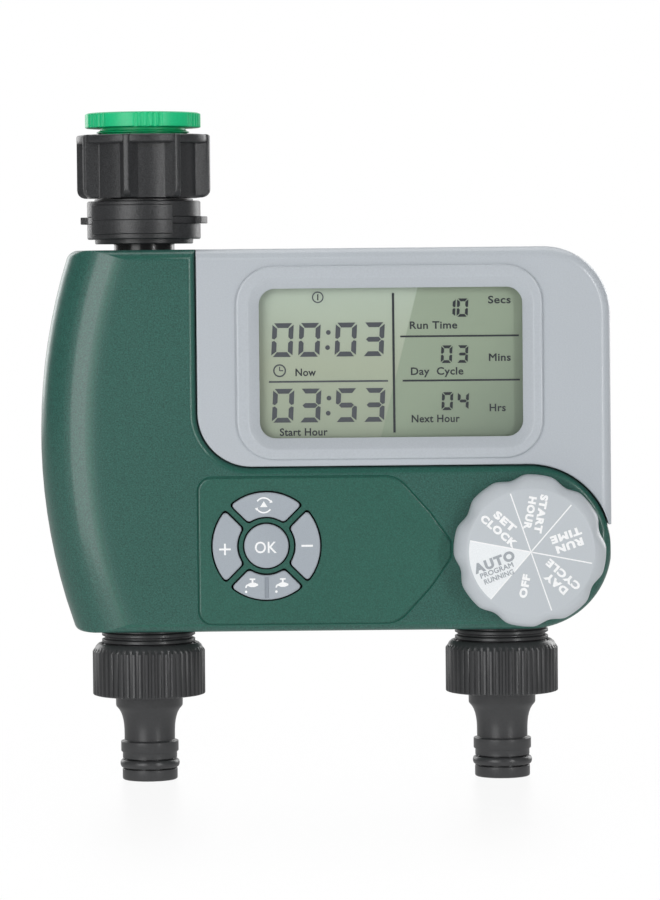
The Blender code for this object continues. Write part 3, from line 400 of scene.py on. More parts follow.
def corner_points(before, after, radius, steps):
    """Points round one corner between two directed lines, each (x, z, dx, dz)."""
    ax, az, adx, adz = before
    bx, bz, bdx, bdz = after
    cross = adx * bdz - adz * bdx
    reach = ((bx - ax) * bdz - (bz - az) * bdx) / cross
    x, z = ax + adx * reach, az + adz * reach
    if not steps:
        return [(x, z)]
    turn = math.atan2(cross, adx * bdx + adz * bdz)
    back = radius * math.tan(abs(turn) / 2)
    side = math.copysign(radius, turn)
    mid_x, mid_z = x - adx * back - adz * side, z - adz * back + adx * side
    points = []
    for i in range(steps + 1):
        c, s = math.cos(turn * i / steps), math.sin(turn * i / steps)
        out_x, out_z = adz * side, -adx * side
        points.append((mid_x + out_x * c - out_z * s, mid_z + out_x * s + out_z * c))
    return points


def outline(corners, insets):
    """Points round counter-clockwise (x, z, radius, steps) corners, each following edge moved inward."""
    lines = []
    for i, (x, z, _radius, _steps) in enumerate(corners):
        next_x, next_z = corners[(i + 1) % len(corners)][:2]
        length = math.hypot(next_x - x, next_z - z)
        dx, dz = (next_x - x) / length, (next_z - z) / length
        lines.append((x - dz * insets[i], z + dx * insets[i], dx, dz))
    points = []
    for i, (_x, _z, radius, steps) in enumerate(corners):
        before, after = lines[i - 1], lines[i]
        outward = before[2] * after[3] < before[3] * after[2]
        inset = (insets[i - 1] + insets[i]) / 2
        points += corner_points(before, after, max(radius + (inset if outward else -inset), 0.1), steps)
    return points


def rounded_rectangle(xs, zs, radius, steps=12):
    """A rectangle with equal corner radii."""
    corners = [(xs[0], zs[0]), (xs[1], zs[0]), (xs[1], zs[1]), (xs[0], zs[1])]
    return outline([(x, z, radius, steps) for x, z in corners], [0.0] * 4)


def grown(span, by):
    """A range made longer by the same amount at both ends."""
    return span[0] - by, span[1] + by


def rounded_stack(name, xs, zs, radius, layers):
    """A closed body of rounded rectangles; a layer is its height and how much it outgrows xs and zs."""
    return stack(name, [(y, rounded_rectangle(grown(xs, g), grown(zs, g), radius + g)) for y, g in layers])


def polar(x, z, radius, degrees):
    """A point at a radius and an angle from +X round a centre."""
    angle = math.radians(degrees)
    return x + radius * math.cos(angle), z + radius * math.sin(angle)


def discard(obj):
    """Remove an object and its mesh."""
    mesh = obj.data
    bpy.data.objects.remove(obj, do_unlink=True)
    bpy.data.meshes.remove(mesh)


def boolean(target, tool, operation):
    """Apply one exact boolean and remove the tool."""
    step = target.modifiers.new(operation.title(), "BOOLEAN")
    step.operation, step.solver, step.object = operation, "EXACT", tool
    graph = bpy.context.evaluated_depsgraph_get()
    mesh = bpy.data.meshes.new_from_object(target.evaluated_get(graph))
    old, target.data = target.data, mesh
    target.modifiers.clear()
    bpy.data.meshes.remove(old)
    discard(tool)


def cut(target, *tools):
    """Take tools away from a piece."""
    for tool in tools:
        boolean(target, tool, "DIFFERENCE")
    return target


def join(target, *tools):
    """Add tools to a piece."""
    for tool in tools:
        boolean(target, tool, "UNION")
    return target


def settle(obj, material, smooth=32):
    """Weld a cut piece, shade it by angle and even out the light on its flat faces."""
    bm = bmesh.new()
    bm.from_mesh(obj.data)
    bmesh.ops.remove_doubles(bm, verts=bm.verts, dist=2e-6)
    bm.to_mesh(obj.data)
    bm.free()
    obj.data.materials.clear()
    obj.data.materials.append(material)
    for polygon in obj.data.polygons:
        polygon.material_index = 0
    obj.data.shade_smooth()
    obj.data.set_sharp_from_angle(angle=math.radians(smooth))
    even = obj.modifiers.new("Even", "WEIGHTED_NORMAL")
    even.keep_sharp = True
    return obj


def shown(obj, body, slot, *nodes):
    """Make a piece ride on a body and stand for CAD nodes; the slot is not used."""
    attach(obj, body)
    if nodes:
        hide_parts(*nodes)
    return obj


# Case shells

def bow_x(z):
    """The case's bowed left side."""
    return BOW_X + BOW_RADIUS - math.sqrt(BOW_RADIUS ** 2 - (z - BOW_Z) ** 2)


def left_corners():
    """The top-left corner, points down the bow, and the bottom-left corner."""
    bow = [(bow_x(z), z, 0, 0) for z in range(-46, -140, -6)]
    return [(bow_x(CASE_TOP), CASE_TOP, 3.4, 8), *bow, (bow_x(CASE_BOTTOM), CASE_BOTTOM, 2.3, 6)]


def case_outline(inset, bow_inset):
    """The whole case, its sides moved inward and its bowed side by its own amount."""
    left = left_corners()
    right = [(CASE_RIGHT, CASE_BOTTOM, LOBE_RADIUS, 28), (CASE_RIGHT, CASE_TOP, 18.5, 22)]
    return outline(right + left, [inset, inset] + [bow_inset] * (len(left) - 1) + [inset])


def round_inset(radius, depth):
    """How far a quarter round stands back from its side at a depth behind its face."""
    return 0.0 if depth >= radius else radius - math.sqrt(radius ** 2 - (radius - depth) ** 2)


def left_inset(depth):
    """How far the bowed side stands back from its edge at a depth; its round eases into the flat front."""
    if depth >= LEFT_DEPTH:
        return 0.0
    power = 2.4
    return LEFT_REACH * (1 - (1 - (1 - depth / LEFT_DEPTH) ** power) ** (1 / power))


def round_depths(radius, steps):
    """Depths at even angles round a quarter round."""
    return [radius * (1 - math.cos(math.pi / 2 * i / steps)) for i in range(steps + 1)]


def front_blank(name):
    """The solid both front shells are trimmed from."""
    early = [0.02, 0.06, 0.13, 0.24, 0.4]
    steps = round_depths(FRONT_ROUND, 7) + round_depths(LEFT_DEPTH, 14) + early
    depths = sorted({round(depth, 3) for depth in steps})
    layers = []
    for depth in depths:
        points = case_outline(round_inset(FRONT_ROUND, depth), left_inset(depth))
        layers.append((CASE_FRONT + depth, points))
    return stack(name, layers + [(-PARTING, case_outline(0, 0))])


def region(corners, edges, round_off):
    """A prism through the case with a quarter round on the chosen edges of its front."""
    def at(inset):
        return outline(corners, [inset if i in edges else 0 for i in range(len(corners))])
    layers = [(CASE_FRONT - 1, at(round_off))]
    layers += [(CASE_FRONT + d, at(round_inset(round_off, d))) for d in round_depths(round_off, 6)]
    return stack("region", layers + [(1.0, at(0))])


def body_region():
    """The part of the case's front that the green shell covers."""
    right, reach = CASE_RIGHT - SPLIT_GAP, 20.0
    corners = [
        (right, CASE_BOTTOM - reach, 0, 0), (right, SPLIT_Z, LOBE_RADIUS, 32),
        (SPLIT_X, SPLIT_Z, SPLIT_RADIUS, 16), (SPLIT_X, CASE_TOP + reach, 0, 0),
        (BOW_X - reach, CASE_TOP + reach, 0, 0), (BOW_X - reach, CASE_BOTTOM - reach, 0, 0),
    ]
    return region(corners, (0, 1, 2), BODY_EDGE)


def bezel_region():
    """The part of the case's front that the light shell covers."""
    left, bottom, reach = SPLIT_X + SPLIT_GAP, SPLIT_Z + SPLIT_GAP, 20.0
    corners = [
        (left, bottom, SPLIT_RADIUS - SPLIT_GAP, 16), (CASE_RIGHT, bottom, LOBE_RADIUS + SPLIT_GAP, 32),
        (CASE_RIGHT, CASE_BOTTOM, 0, 0), (CASE_RIGHT + reach, CASE_BOTTOM, 0, 0),
        (CASE_RIGHT + reach, CASE_TOP + reach, 0, 0), (left, CASE_TOP + reach, 0, 0),
    ]
    return cut(region(corners, (0, 1, 5), BEZEL_EDGE), block((110, 160), (-30, 5), (-170, -116)))


def front_interior():
    """The hollow inside both front shells."""
    return prism(case_outline(2.2, 4.5), *INTERIOR_Y)


def pipe_holes():
    """Clearance for the inlet and the two outlets where they leave the case."""
    holes = [rod("Z", (0, 0), PIPE_RADIUS + 0.45, CASE_TOP - 6, CASE_TOP + 6)]
    return holes + [
        rod("Z", (x, 0), STUB_RADIUS + 0.4, CASE_BOTTOM - 6, CASE_BOTTOM + 4, 64) for x in VALVE_X
    ]


def sector_outline(inner, outer, start, end, edge, corner):
    """A ring sector, its straight sides moved in by edge and its corners rounded."""
    points = []
    for radius, ends in ((outer, (start, end)), (inner, (end, start))):
        trim = math.degrees(math.asin(edge / radius)) * (1 if ends[0] < ends[1] else -1)
        first, last = ends[0] + trim, ends[1] - trim
        points += [polar(0, 0, radius, first + (last - first) * i / 14) for i in range(15)]
    return round_corners(points, (0, 14, 15, 29), corner) if corner else points


def round_corners(points, which, radius):
    """Round the chosen corners of an outline made of short edges."""
    out = []
    for i, (x, z) in enumerate(points):
        if i not in which:
            if all(math.dist((x, z), points[k]) > radius for k in which):
                out.append((x, z))
            continue
        px, pz = points[i - 1]
        nx, nz = points[(i + 1) % len(points)]
        back, ahead = math.dist((x, z), (px, pz)), math.dist((x, z), (nx, nz))
        ax, az = x + (px - x) * radius / back, z + (pz - z) * radius / back
        bx, bz = x + (nx - x) * radius / ahead, z + (nz - z) * radius / ahead
        for k in range(6):
            t = k / 5
            out.append((
                (1 - t) ** 2 * ax + 2 * t * (1 - t) * x + t * t * bx,
                (1 - t) ** 2 * az + 2 * t * (1 - t) * z + t * t * bz,
            ))
    return out


def key_outline(middle, gap, corner=1.2):
    """One curved key, or the hole it sits in, made larger by gap."""
    points = sector_outline(
        ARC_INNER - gap, ARC_OUTER + gap, middle - 45, middle + 45, ARC_EDGE - gap, corner,
    )
    return [(x + PAD_X, z + PAD_Z) for x, z in points]


def panel_outline(inset):
    """The keypad panel, pointed toward the selector."""
    corners = [
        (15.0, -142.9, 4.0, 8), (70.4, -142.9, 8.0, 8), (79.6, -132.9, 0, 0), (85.4, -124.6, 2.0, 5),
        (85.5, -120.4, 2.0, 5), (79.7, -112.2, 0, 0), (70.4, -101.8, 8.0, 8), (15.0, -101.8, 4.0, 8),
    ]
    return outline(corners, [inset] * 8)


def front_housing(looks):
    """The green front shell with its keypad panel and openings."""
    shell = front_blank("body_front")
    boolean(shell, body_region(), "INTERSECT")
    groove = [(CASE_FRONT - 1, -0.35), (CASE_FRONT, -0.24), (GROOVE_FLOOR, 0.1)]
    cut(shell, stack("tool", [(y, panel_outline(inset)) for y, inset in groove]))
    plateau = [
        (PANEL_FRONT, 0.75), (PANEL_FRONT + 0.03, 0.5), (PANEL_FRONT + 0.12, 0.34), (GROOVE_FLOOR, 0.24),
        (-22.5, 0.24),
    ]
    join(shell, stack("tool", [(y, panel_outline(inset)) for y, inset in plateau]))
    cut(shell, front_interior())
    right = CASE_RIGHT - SPLIT_GAP
    left = left_corners()
    corners = [
        (right, CASE_BOTTOM, LOBE_RADIUS - 0.05, 16), (right, SPLIT_Z, LOBE_RADIUS - 0.05, 16),
        (SPLIT_X, SPLIT_Z, SPLIT_RADIUS, 8), (SPLIT_X, CASE_TOP, 0, 0), *left,
    ]
    pocket = outline(corners, [2.2] * 4 + [9.0] * (len(left) - 1) + [2.2])
    cut(shell, prism(pocket, *POCKET_Y), rod("Y", (PAD_X, PAD_Z), OK_HOLE, -26, -20, 64))
    for middle in (0, 90, 180, 270):
        cut(shell, prism(key_outline(middle, KEY_GAP), -26, -20))
    cut(shell, rod("Y", (KNOB_X, KNOB_Z), 4.0, -26, -20), *pipe_holes())
    settle(shell, looks["body"])
    shell.data.materials.append(looks["panel"])
    for polygon in shell.data.polygons:
        if PANEL_FRONT - 0.01 < polygon.center.y / MM < GROOVE_FLOOR and polygon.normal.y < -0.5:
            polygon.material_index = 1
    return shown(shell, "housing", "case_green", "front_housing")


def display_bezel(looks):
    """The light front shell with its raised display frame."""
    shell = front_blank("bezel_front")
    boolean(shell, bezel_region(), "INTERSECT")
    ring = [
        (RING_FRONT, -0.8), (RING_FRONT + 0.07, -0.4), (RING_FRONT + 0.25, -0.13), (RING_FRONT + 0.5, 0.0),
        (-24.1, 0.03), (-23.0, 0.03),
    ]
    join(shell, rounded_stack("tool", RING_X, RING_Z, RING_RADIUS, ring))
    mouth = [
        (RING_FRONT - 0.5, 3.6), (RING_FRONT + 0.02, 3.1), (RING_FRONT + 0.25, 2.5),
        (-23.2, 0.35), (-22.9, 0.0), (-21.0, 0.0),
    ]
    cut(shell, rounded_stack("tool", WINDOW_X, WINDOW_Z, WINDOW_RADIUS, mouth))
    corners = [(17.4, -96.8, 12.8, 8), (127.8, -96.8, 0, 0), (127.8, -40.8, 16.3, 10), (17.4, -40.8, 0, 0)]
    cut(shell, prism(outline(corners, [0.0] * 4), *POCKET_Y), front_interior())
    return shown(settle(shell, looks["bezel"]), "housing", "bezel_gray", "display_bezel")


def seal_frame(spare, ys):
    """The seal's frame round the battery opening, made larger by spare, as a tool."""
    outer = rounded_rectangle(grown(TRAY_X, 1.2 + spare), grown(TRAY_Z, 1.2 + spare), 2.5, 5)
    inner = rounded_rectangle(grown(TRAY_X, -spare), grown(TRAY_Z, -spare), 1.3, 5)
    return cut(prism(outer, *ys), prism(inner, ys[0] - 1, ys[1] + 1))


def rear_housing(looks):
    """The green back shell with its posts, battery opening and seal groove."""
    layers = [(PARTING, case_outline(0, 0))]
    for depth in reversed(round_depths(BACK_ROUND, 9)):
        inset = round_inset(BACK_ROUND, depth)
        layers.append((CASE_BACK - depth, case_outline(inset, inset)))
    shell = stack("body_back", layers)
    cut(shell, prism(case_outline(2.6, 2.6), -1.0, 23.8))
    for x, z in POSTS:
        join(shell, rod("Y", (x, z), 4.0, PARTING, 24.3, 24))
        cut(shell, rod("Y", (x, z), 1.8, -1, 27, 16), rod("Y", (x, z), 3.2, 23.4, 27, 32))
    for x in COVER_SCREWS:
        join(shell, rod("Y", (x, COVER_SCREW_Z), 3.8, 14, 24.3, 24))
        cut(shell, rod("Y", (x, COVER_SCREW_Z), 1.8, 15, 27, 16))
    cut(shell, block(grown(TRAY_X, -1.5), (20, 27), grown(TRAY_Z, -1.5)), seal_frame(0.25, (25.0, 27.0)))
    cut(shell, *pipe_holes())
    return shown(settle(shell, looks["body"]), "housing", "case_green", "rear_housing")


def battery_cover(looks):
    """The back cover with grooves for the fingers."""
    outer, back = COVER_Y
    layers = [(outer, 0.0), (back - 0.9, 0.0), (back - 0.45, -0.15), (back - 0.15, -0.45), (back, -0.9)]
    cover = rounded_stack("battery_door", COVER_X, COVER_Z, 5.0, layers)
    rib = block(grown(TRAY_X, -1.9), (24.3, 26.8), grown(TRAY_Z, -1.9))
    join(cover, cut(rib, block(grown(TRAY_X, -3.5), (20, 30), grown(TRAY_Z, -3.5))))
    for x in COVER_SCREWS:
        cut(
            cover, rod("Y", (x, COVER_SCREW_Z), 1.8, 20, 30, 24),
            rod("Y", (x, COVER_SCREW_Z), 3.6, 27.1, 30, 32),
        )
    for i in range(5):
        z = -60.0 - 4.0 * i
        cut(cover, block((56.0, 85.5), (28.2, 30.0), (z - 0.6, z + 0.6)))
    return shown(settle(cover, looks["body"]), "back_cover", "case_green", "battery_cover")


# Lettering, icons and display segments

def flat_mesh(bm, polygons, front, thick=0.06):
    """Add closed thin plates to a bmesh; each polygon is (x, z) points and front is their outer y.

    Plates take four heights in turn, so that none lies in the plane of the three before it.
    """
    for number, points in enumerate(polygons):
        lift = front - 0.004 * (number % 4)
        near = [bm.verts.new((x * MM, lift * MM, z * MM)) for x, z in points]
        far = [bm.verts.new((x * MM, (front + thick) * MM, z * MM)) for x, z in points]
        bm.faces.new(near)
        bm.faces.new(far[::-1])
        for i in range(len(points)):
            k = (i + 1) % len(points)
            bm.faces.new((near[i], far[i], far[k], near[k]))


def plates(name, polygons, front, material, body, slot):
    """Printed marks as thin closed plates on a body."""
    bm = bmesh.new()
    flat_mesh(bm, polygons, front)
    return shown(piece_from(name, bm, material), body, slot)


def glyphs(text, depth, spacing=1.0):
    """The built-in font's letters as a mesh of unit size, grown outward by depth."""
    curve = bpy.data.curves.new("letters", "FONT")
    curve.body, curve.size, curve.align_x, curve.resolution_u = text, 1.0, "CENTER", 4
    curve.space_character = spacing
    curve.bevel_depth, curve.bevel_resolution, curve.extrude = depth, 0, 0.0 if depth else 0.01
    holder = linked("letters", curve)
    graph = bpy.context.evaluated_depsgraph_get()
    mesh = bpy.data.meshes.new_from_object(holder.evaluated_get(graph))
    bpy.data.objects.remove(holder, do_unlink=True)
    bpy.data.curves.remove(curve)
    return mesh


def span(values):
    """The least and the greatest value."""
    values = list(values)
    return min(values), max(values)


def lettering(name, entries, front, material, body, slot, bold):
    """Printed words as thin closed plates: entries are (text, x, z, cap height, degrees, width or None)."""
    plain = glyphs("H", 0.0)
    unit = span(v.co.y for v in plain.vertices)[1]
    bpy.data.meshes.remove(plain)
    bm = bmesh.new()
    for text, x, z, cap, turn, width in entries:
        scale = (cap - 2 * bold) / unit
        mesh = glyphs(text, bold / scale, 1.0 + bold)
        left, right = span(v.co.x for v in mesh.vertices)
        back, near = span(v.co.z for v in mesh.vertices)
        stretch = scale if width is None else width / (right - left)
        c, s = math.cos(math.radians(turn)), math.sin(math.radians(turn))
        for vertex in mesh.vertices:
            u = (vertex.co.x - (left + right) / 2) * stretch
            v = (vertex.co.y - unit / 2) * scale
            depth = 0.05 * (near - vertex.co.z) / (near - back)
            vertex.co = ((x + u * c - v * s) * MM, (front + depth) * MM, (z + u * s + v * c) * MM)
        bm.from_mesh(mesh)
        bpy.data.meshes.remove(mesh)
    bmesh.ops.remove_doubles(bm, verts=bm.verts, dist=1e-7)
    return shown(piece_from(name, bm, material), body, slot)


SEGMENTS = {"0": "abcdef", "1": "bc", "3": "abgcd", "4": "fgbc", "5": "afgcd"}


def digit(char, left, bottom, width, height, thick, slant=0.05):
    """The lit segments of one seven-segment digit, mitred where they meet at the corners."""
    gap, nick = thick * 0.13, thick * 0.5
    right, top, middle = left + width, bottom + height, bottom + height / 2
    reach, tip, half = gap + thick, gap + nick * 0.4, thick / 2

    def upright(x, inward, low, high, low_is_end):
        """One upright segment, from the digit's corner to its middle."""
        inner, centre = x + inward * thick, x + inward * half
        ends = [
            (x, low + tip), (inner, low + reach), (inner, high - gap - half), (centre, high - gap),
            (x, high - tip),
        ]
        return ends if low_is_end else [(px, low + high - pz) for px, pz in ends]

    def level(z, outward):
        """The top or bottom segment, long on its outer side."""
        inner = z - outward * thick
        return [(left + tip, z), (left + reach, inner), (right - reach, inner), (right - tip, z)]

    shapes = {
        "a": level(top, 1), "d": level(bottom, -1),
        "g": [
            (left + gap + nick, middle), (left + reach, middle - half), (right - reach, middle - half),
            (right - gap - nick, middle), (right - reach, middle + half), (left + reach, middle + half),
        ],
        "b": upright(right, -1, middle, top, False), "c": upright(right, -1, bottom, middle, True),
        "e": upright(left, 1, bottom, middle, True), "f": upright(left, 1, middle, top, False),
    }
    return [[(x + (z - bottom) * slant, z) for x, z in shapes[key]] for key in SEGMENTS[char]]


def bar(x0, z0, x1, z1, width):
    """A straight stroke with square ends."""
    length = math.hypot(x1 - x0, z1 - z0)
    nx, nz = -(z1 - z0) / length * width / 2, (x1 - x0) / length * width / 2
    return [(x0 + nx, z0 + nz), (x1 + nx, z1 + nz), (x1 - nx, z1 - nz), (x0 - nx, z0 - nz)]


def arc_stroke(x, z, radius, start, end, width, steps=20):
    """A curved stroke as a run of short plates."""
    strokes = []
    inner, outer = radius - width / 2, radius + width / 2
    for i in range(steps):
        a, b = (start + (end - start) * k / steps for k in (i, i + 1))
        corners = ((inner, a), (outer, a), (outer, b), (inner, b))
        strokes.append([polar(x, z, across, degrees) for across, degrees in corners])
    return strokes


def disc(x, z, radius, steps=20):
    """A round dot."""
    return [polar(x, z, radius, 360 * i / steps) for i in range(steps)]


def around(x, z, points):
    """Points moved to stand round a centre."""
    return [(x + a, z + b) for a, b in points]


def display_content(looks):
    """Digits, rules, marks and plain words on the display; the left half's digits are lighter than the right
    half's, a painted reflection of the glare on the film.
    """
    where = ("housing", "lcd_glass")
    left = [bar(35.1, -75.6, 68.2, -75.6, 0.5)]
    for text, bottom in (("0003", -68.7), ("0353", -86.95)):
        for char, x in zip(text, (35.8, 43.3, 53.4, 61.1)):
            left += digit(char, x, bottom, 5.9, 9.4, 1.35)
        left += [disc(51.5, bottom + 2.5, 0.66), disc(51.75, bottom + 6.7, 0.66)]
    left += arc_stroke(48.9, -52.2, 1.45, 0, 360, 0.34, 28) + arc_stroke(38.1, -72.5, 1.6, 0, 360, 0.4, 28)
    left += [bar(38.1, -72.6, 38.1, -71.4, 0.3), bar(38.25, -72.5, 39.1, -72.5, 0.3)]
    right = [
        bar(69.8, -51.2, 69.9, -90.0, 0.65), bar(71.7, -63.3, 104.7, -63.3, 0.5),
        bar(72.3, -75.6, 104.9, -75.6, 0.5),
    ]
    for text, x, bottom, height, step in (
        ("10", 83.9, -58.0, 5.1, 3.5), ("03", 82.9, -70.8, 4.9, 4.4), ("04", 83.0, -83.9, 5.0, 4.4),
    ):
        for i, char in enumerate(text):
            right += digit(char, x + step * i, bottom, 3.1, height, 0.8)
    # The left half's segments take the lighter ink as painted reflection of glare.
    plates("display_glare_lit_segments", left, DISPLAY_INK, looks["segment"], *where)
    plates("display_deep_segments", right, DISPLAY_INK, looks["deep_segment"], *where)
    left_words = [
        ("1", 48.9, -52.2, 1.7, 0, None), ("Now", 45.35, -73.0, 2.1, 0, 5.7),
        ("Start Hour", 44.65, -89.6, 2.1, 0, 13.3),
    ]
    right_words = [
        ("Secs", 99.35, -53.3, 2.1, 0, 6.3), ("Run Time", 81.0, -60.2, 2.1, 0, 13.2),
        ("Mins", 99.35, -69.3, 2.1, 0, 6.1), ("Day  Cycle", 81.9, -73.0, 2.1, 0, 14.6),
        ("Hrs", 98.65, -83.3, 2.1, 0, 4.5), ("Next Hour", 81.4, -86.2, 2.1, 0, 13.4),
    ]
    for name, words in (("display_words", left_words), ("display_deep_words", right_words)):
        lettering(name, words, DISPLAY_INK, looks["deep_segment"], *where, 0.06)


# Keys and selector

def blacken_sides(key, looks):
    """Below its painted face a key is black: painted shade for the gaps round the keys."""
    key.data.materials.append(looks["rubber"])
    for polygon in key.data.polygons:
        if polygon.center.y / MM > KEY_PAINT_END:
            polygon.material_index = 1


def key_bodies(looks):
    """The OK key and the four curved keys with softly rounded edges and lips, black below their faces as
    painted shade in the gaps.
    """
    lip = 0.6
    profile = [
        (0, KEY_BACK), (2.5, KEY_BACK), (2.5, -20.7), (OK_RADIUS + lip, -20.7), (OK_RADIUS + lip, -21.7),
        (OK_RADIUS, -21.7), (OK_RADIUS, -24.3), (OK_RADIUS - 0.08, -24.55), (OK_RADIUS - 0.25, -24.72),
        (OK_RADIUS - 0.55, KEY_FRONT), (0, KEY_FRONT),
    ]
    cap = turned("key_ok_cap", "Y", (PAD_X, PAD_Z), profile, 96, looks["key"])
    blacken_sides(cap, looks)
    shown(cap, "key_ok", "key_gray", "button_ok")
    words = [("OK", PAD_X - 0.15, PAD_Z - 0.35, 3.15, 0, 6.1)]
    lettering("key_ok_mark", words, KEY_FRONT - 0.04, looks["white"], "key_ok", "key_gray", 0.05)
    for name, middle in (("minus", 0), ("cycle", 90), ("plus", 180), ("valves", 270)):
        shift = 0.6 if name == "valves" else 0.0
        layers = [(KEY_FRONT, -0.55), (-24.72, -0.25), (-24.55, -0.08), (-24.3, 0.0), (-21.1, 0.0)]
        key = stack(f"key_{name}_cap", [(y, key_outline(middle, g)) for y, g in layers])
        join(key, prism(key_outline(middle, lip, 0), -21.7 + shift, -20.7 + shift))
        join(key, rod("Y", polar(PAD_X, PAD_Z, 11.5, middle), 2.0, -21.0, KEY_BACK, 24))
        if name == "valves":
            cut(key, block((PAD_X - 0.6, PAD_X + 0.6), (-26, KEY_FRONT + 0.16), (PAD_Z - 17, PAD_Z - 7)))
        blacken_sides(settle(key, looks["key"]), looks)
        shown(key, f"key_{name}", "key_gray", f"button_{name}")


def key_marks(looks):
    """The white marks on the four curved keys, and a darker grey plate on the floor of the valves key's
    groove, painted shade in the recess.
    """
    cross = []
    for c, s in ((1, 0), (0, 1), (-1, 0), (0, -1)):
        cross += [(c * u - s * v, s * u + c * v) for u, v in ((1.6, -0.26), (1.6, 0.26), (0.26, 0.26))]
    x, z = PAD_X + 11.3, PAD_Z
    minus = bar(x - 1.6, z, x + 1.6, z, 0.55)
    x, z = PAD_X - 0.6, PAD_Z + 11.4
    cycle = arc_stroke(x, z - 0.2, 2.2, 35, 145, 0.42) + arc_stroke(x, z + 0.1, 2.2, 215, 325, 0.42)
    cycle += [
        around(x, z, [(-1.05, -0.55), (1.05, -0.55), (0, 1.1)]),
        around(x, z, [(1.55, 0.55), (2.5, 0.75), (2.0, 1.5)]),
        around(x, z, [(-1.55, -0.65), (-2.5, -0.85), (-2.0, -1.6)]),
    ]
    taps = []
    for x in (PAD_X - 4.3, PAD_X + 4.1):
        z = PAD_Z - 10.9
        barrel = [
            (-1.0, 0.35), (-0.2, 0.8), (0.9, 0.8), (1.9, 0.4), (1.9, -0.05), (0.9, -0.45), (-0.2, -0.45),
            (-1.0, -0.1),
        ]
        taps += [
            bar(x - 0.45, z + 1.75, x + 1.15, z + 1.75, 0.42),
            bar(x + 0.35, z + 1.7, x + 0.35, z + 0.7, 0.5),
        ]
        taps += [around(x, z, barrel)]
        taps += arc_stroke(x - 0.75, z - 0.55, 0.72, 80, 190, 0.45, 8)
        taps += [disc(x - 1.45, z - 1.75, 0.36, 12)]
    plus = around(PAD_X - 11.5, PAD_Z - 0.8, cross)
    for name, marks in (("plus", [plus]), ("minus", [minus]), ("cycle", cycle), ("valves", taps)):
        plates(f"key_{name}_mark", marks, KEY_FRONT - 0.05, looks["white"], f"key_{name}", "key_gray")
    groove = bar(PAD_X, PAD_Z - 8.6, PAD_X, PAD_Z - 14.5, 0.9)
    plates("key_valves_groove", [groove], KEY_FRONT + 0.08, looks["groove"], "key_valves", "key_gray")


def knob_edge(radius, dip=1.2):
    """A radius with the knob's finger scallops, as a function of degrees from +X."""
    def shape(degrees):
        off = abs((degrees - 15.0 + 22.5) % 45 - 22.5)
        return radius - dip * (0.5 + 0.5 * math.cos(math.pi * min(off / 14.0, 1.0)))
    return shape, 256


def selector(looks):
    """The scalloped dial with its six printed sectors."""
    edge = [
        (17.3, 0.0, KNOB_FACE), (17.5, 0.0, -32.97), (17.7, 0.03, -32.88), (17.95, 0.08, -32.74),
        (18.6, 0.3, -32.3), (19.4, 0.65, -31.6), (20.2, 0.95, -30.6), (20.8, 1.1, -29.2),
        (KNOB_RADIUS, 1.2, -27.2), (KNOB_RADIUS, 1.2, -24.9), (20.8, 1.2, -24.4),
    ]
    back = [(17.5, -24.4), (16.5, -30.8), (6.5, -30.8), (6.5, -24.9), (3.2, -24.9), (3.2, -31.3), (0, -31.3)]
    profile = [(0, KNOB_FACE)] + [(knob_edge(radius, dip), y) for radius, dip, y in edge] + back
    knob = turned("selector_dial", "Y", (KNOB_X, KNOB_Z), profile, 64, looks["knob"], 40)
    shown(knob, "selector", "knob_gray", "selector_knob")
    where = ("selector", "knob_gray")
    front, half, reach = KNOB_FACE - 0.03, 0.17, 17.1
    strokes = [[polar(KNOB_X, KNOB_Z, half * 1.9, degrees) for degrees in range(19, 379, 60)]]
    for k in range(6):
        degrees = FIRST_LINE + SECTOR * k
        start, end = (polar(KNOB_X, KNOB_Z, radius, degrees) for radius in (2 * half, reach))
        strokes.append(bar(*start, *end, 2 * half))
    plates("dial_lines", strokes, front - 0.03, looks["white"], *where)
    first = FIRST_LINE + 3 * SECTOR
    wedge = [(KNOB_X, KNOB_Z)] + [polar(KNOB_X, KNOB_Z, reach, first + SECTOR * i / 24) for i in range(25)]
    plates("dial_sector", [wedge], front, looks["sector"], *where)
    words = [
        ("SET", -7.1, 8.5, 2.2, -41, 7.2), ("CLOCK", -8.85, 5.85, 2.2, -41, 12.2),
        ("START", 2.85, 10.5, 2.2, -101, 10.7), ("HOUR", -0.2, 10.75, 2.2, -101, 9.2),
        ("TIME", 9.65, 4.5, 2.2, -161, 8.8), ("RUN", 10.65, 1.7, 2.2, -161, 7.8),
        ("CYCLE", 8.85, -6.3, 2.2, 139, 11.4), ("DAY", 6.8, -8.75, 2.2, 139, 7.5),
        ("OFF", -1.8, -9.4, 2.2, 79, 6.6),
    ]
    pale = [("AUTO", -10.2, -2.7, 2.8, 20, 11.8)]
    small = [("PROGRAM", -9.5, -4.95, 1.4, 20, 9.6), ("RUNNING", -8.9, -6.75, 1.4, 20, 8.6)]
    for name, lines, ink, bold in (
        ("words", words, "white", 0.17), ("sector_words", pale, "grey_ink", 0.2),
        ("small_words", small, "grey_ink", 0.05),
    ):
        placed = [(text, KNOB_X + x, KNOB_Z + z, cap, turn, width) for text, x, z, cap, turn, width in lines]
        lettering(f"dial_{name}", placed, front - 0.07, looks[ink], *where, bold)


# Inlet and outlets

def grip_edge(depth):
    """The adapter's rim: six groups of five notches with plain rim between."""
    def shape(degrees):
        within = (degrees - 8.0 + 30.0) % 60 - 30.0
        if abs(within) > 15:
            return 16.3
        return 16.3 - depth * (0.5 + 0.5 * math.cos(math.tau * within / 6.0))
    return shape, 480


def thread_edge(top, crest, root):
    """One plain ring of a thread below a height; a run of them stands in for the helix."""
    return [(root, top), (root, top - 0.55), (crest, top - 0.975), (crest, top - 1.15), (root, top - 1.5)]


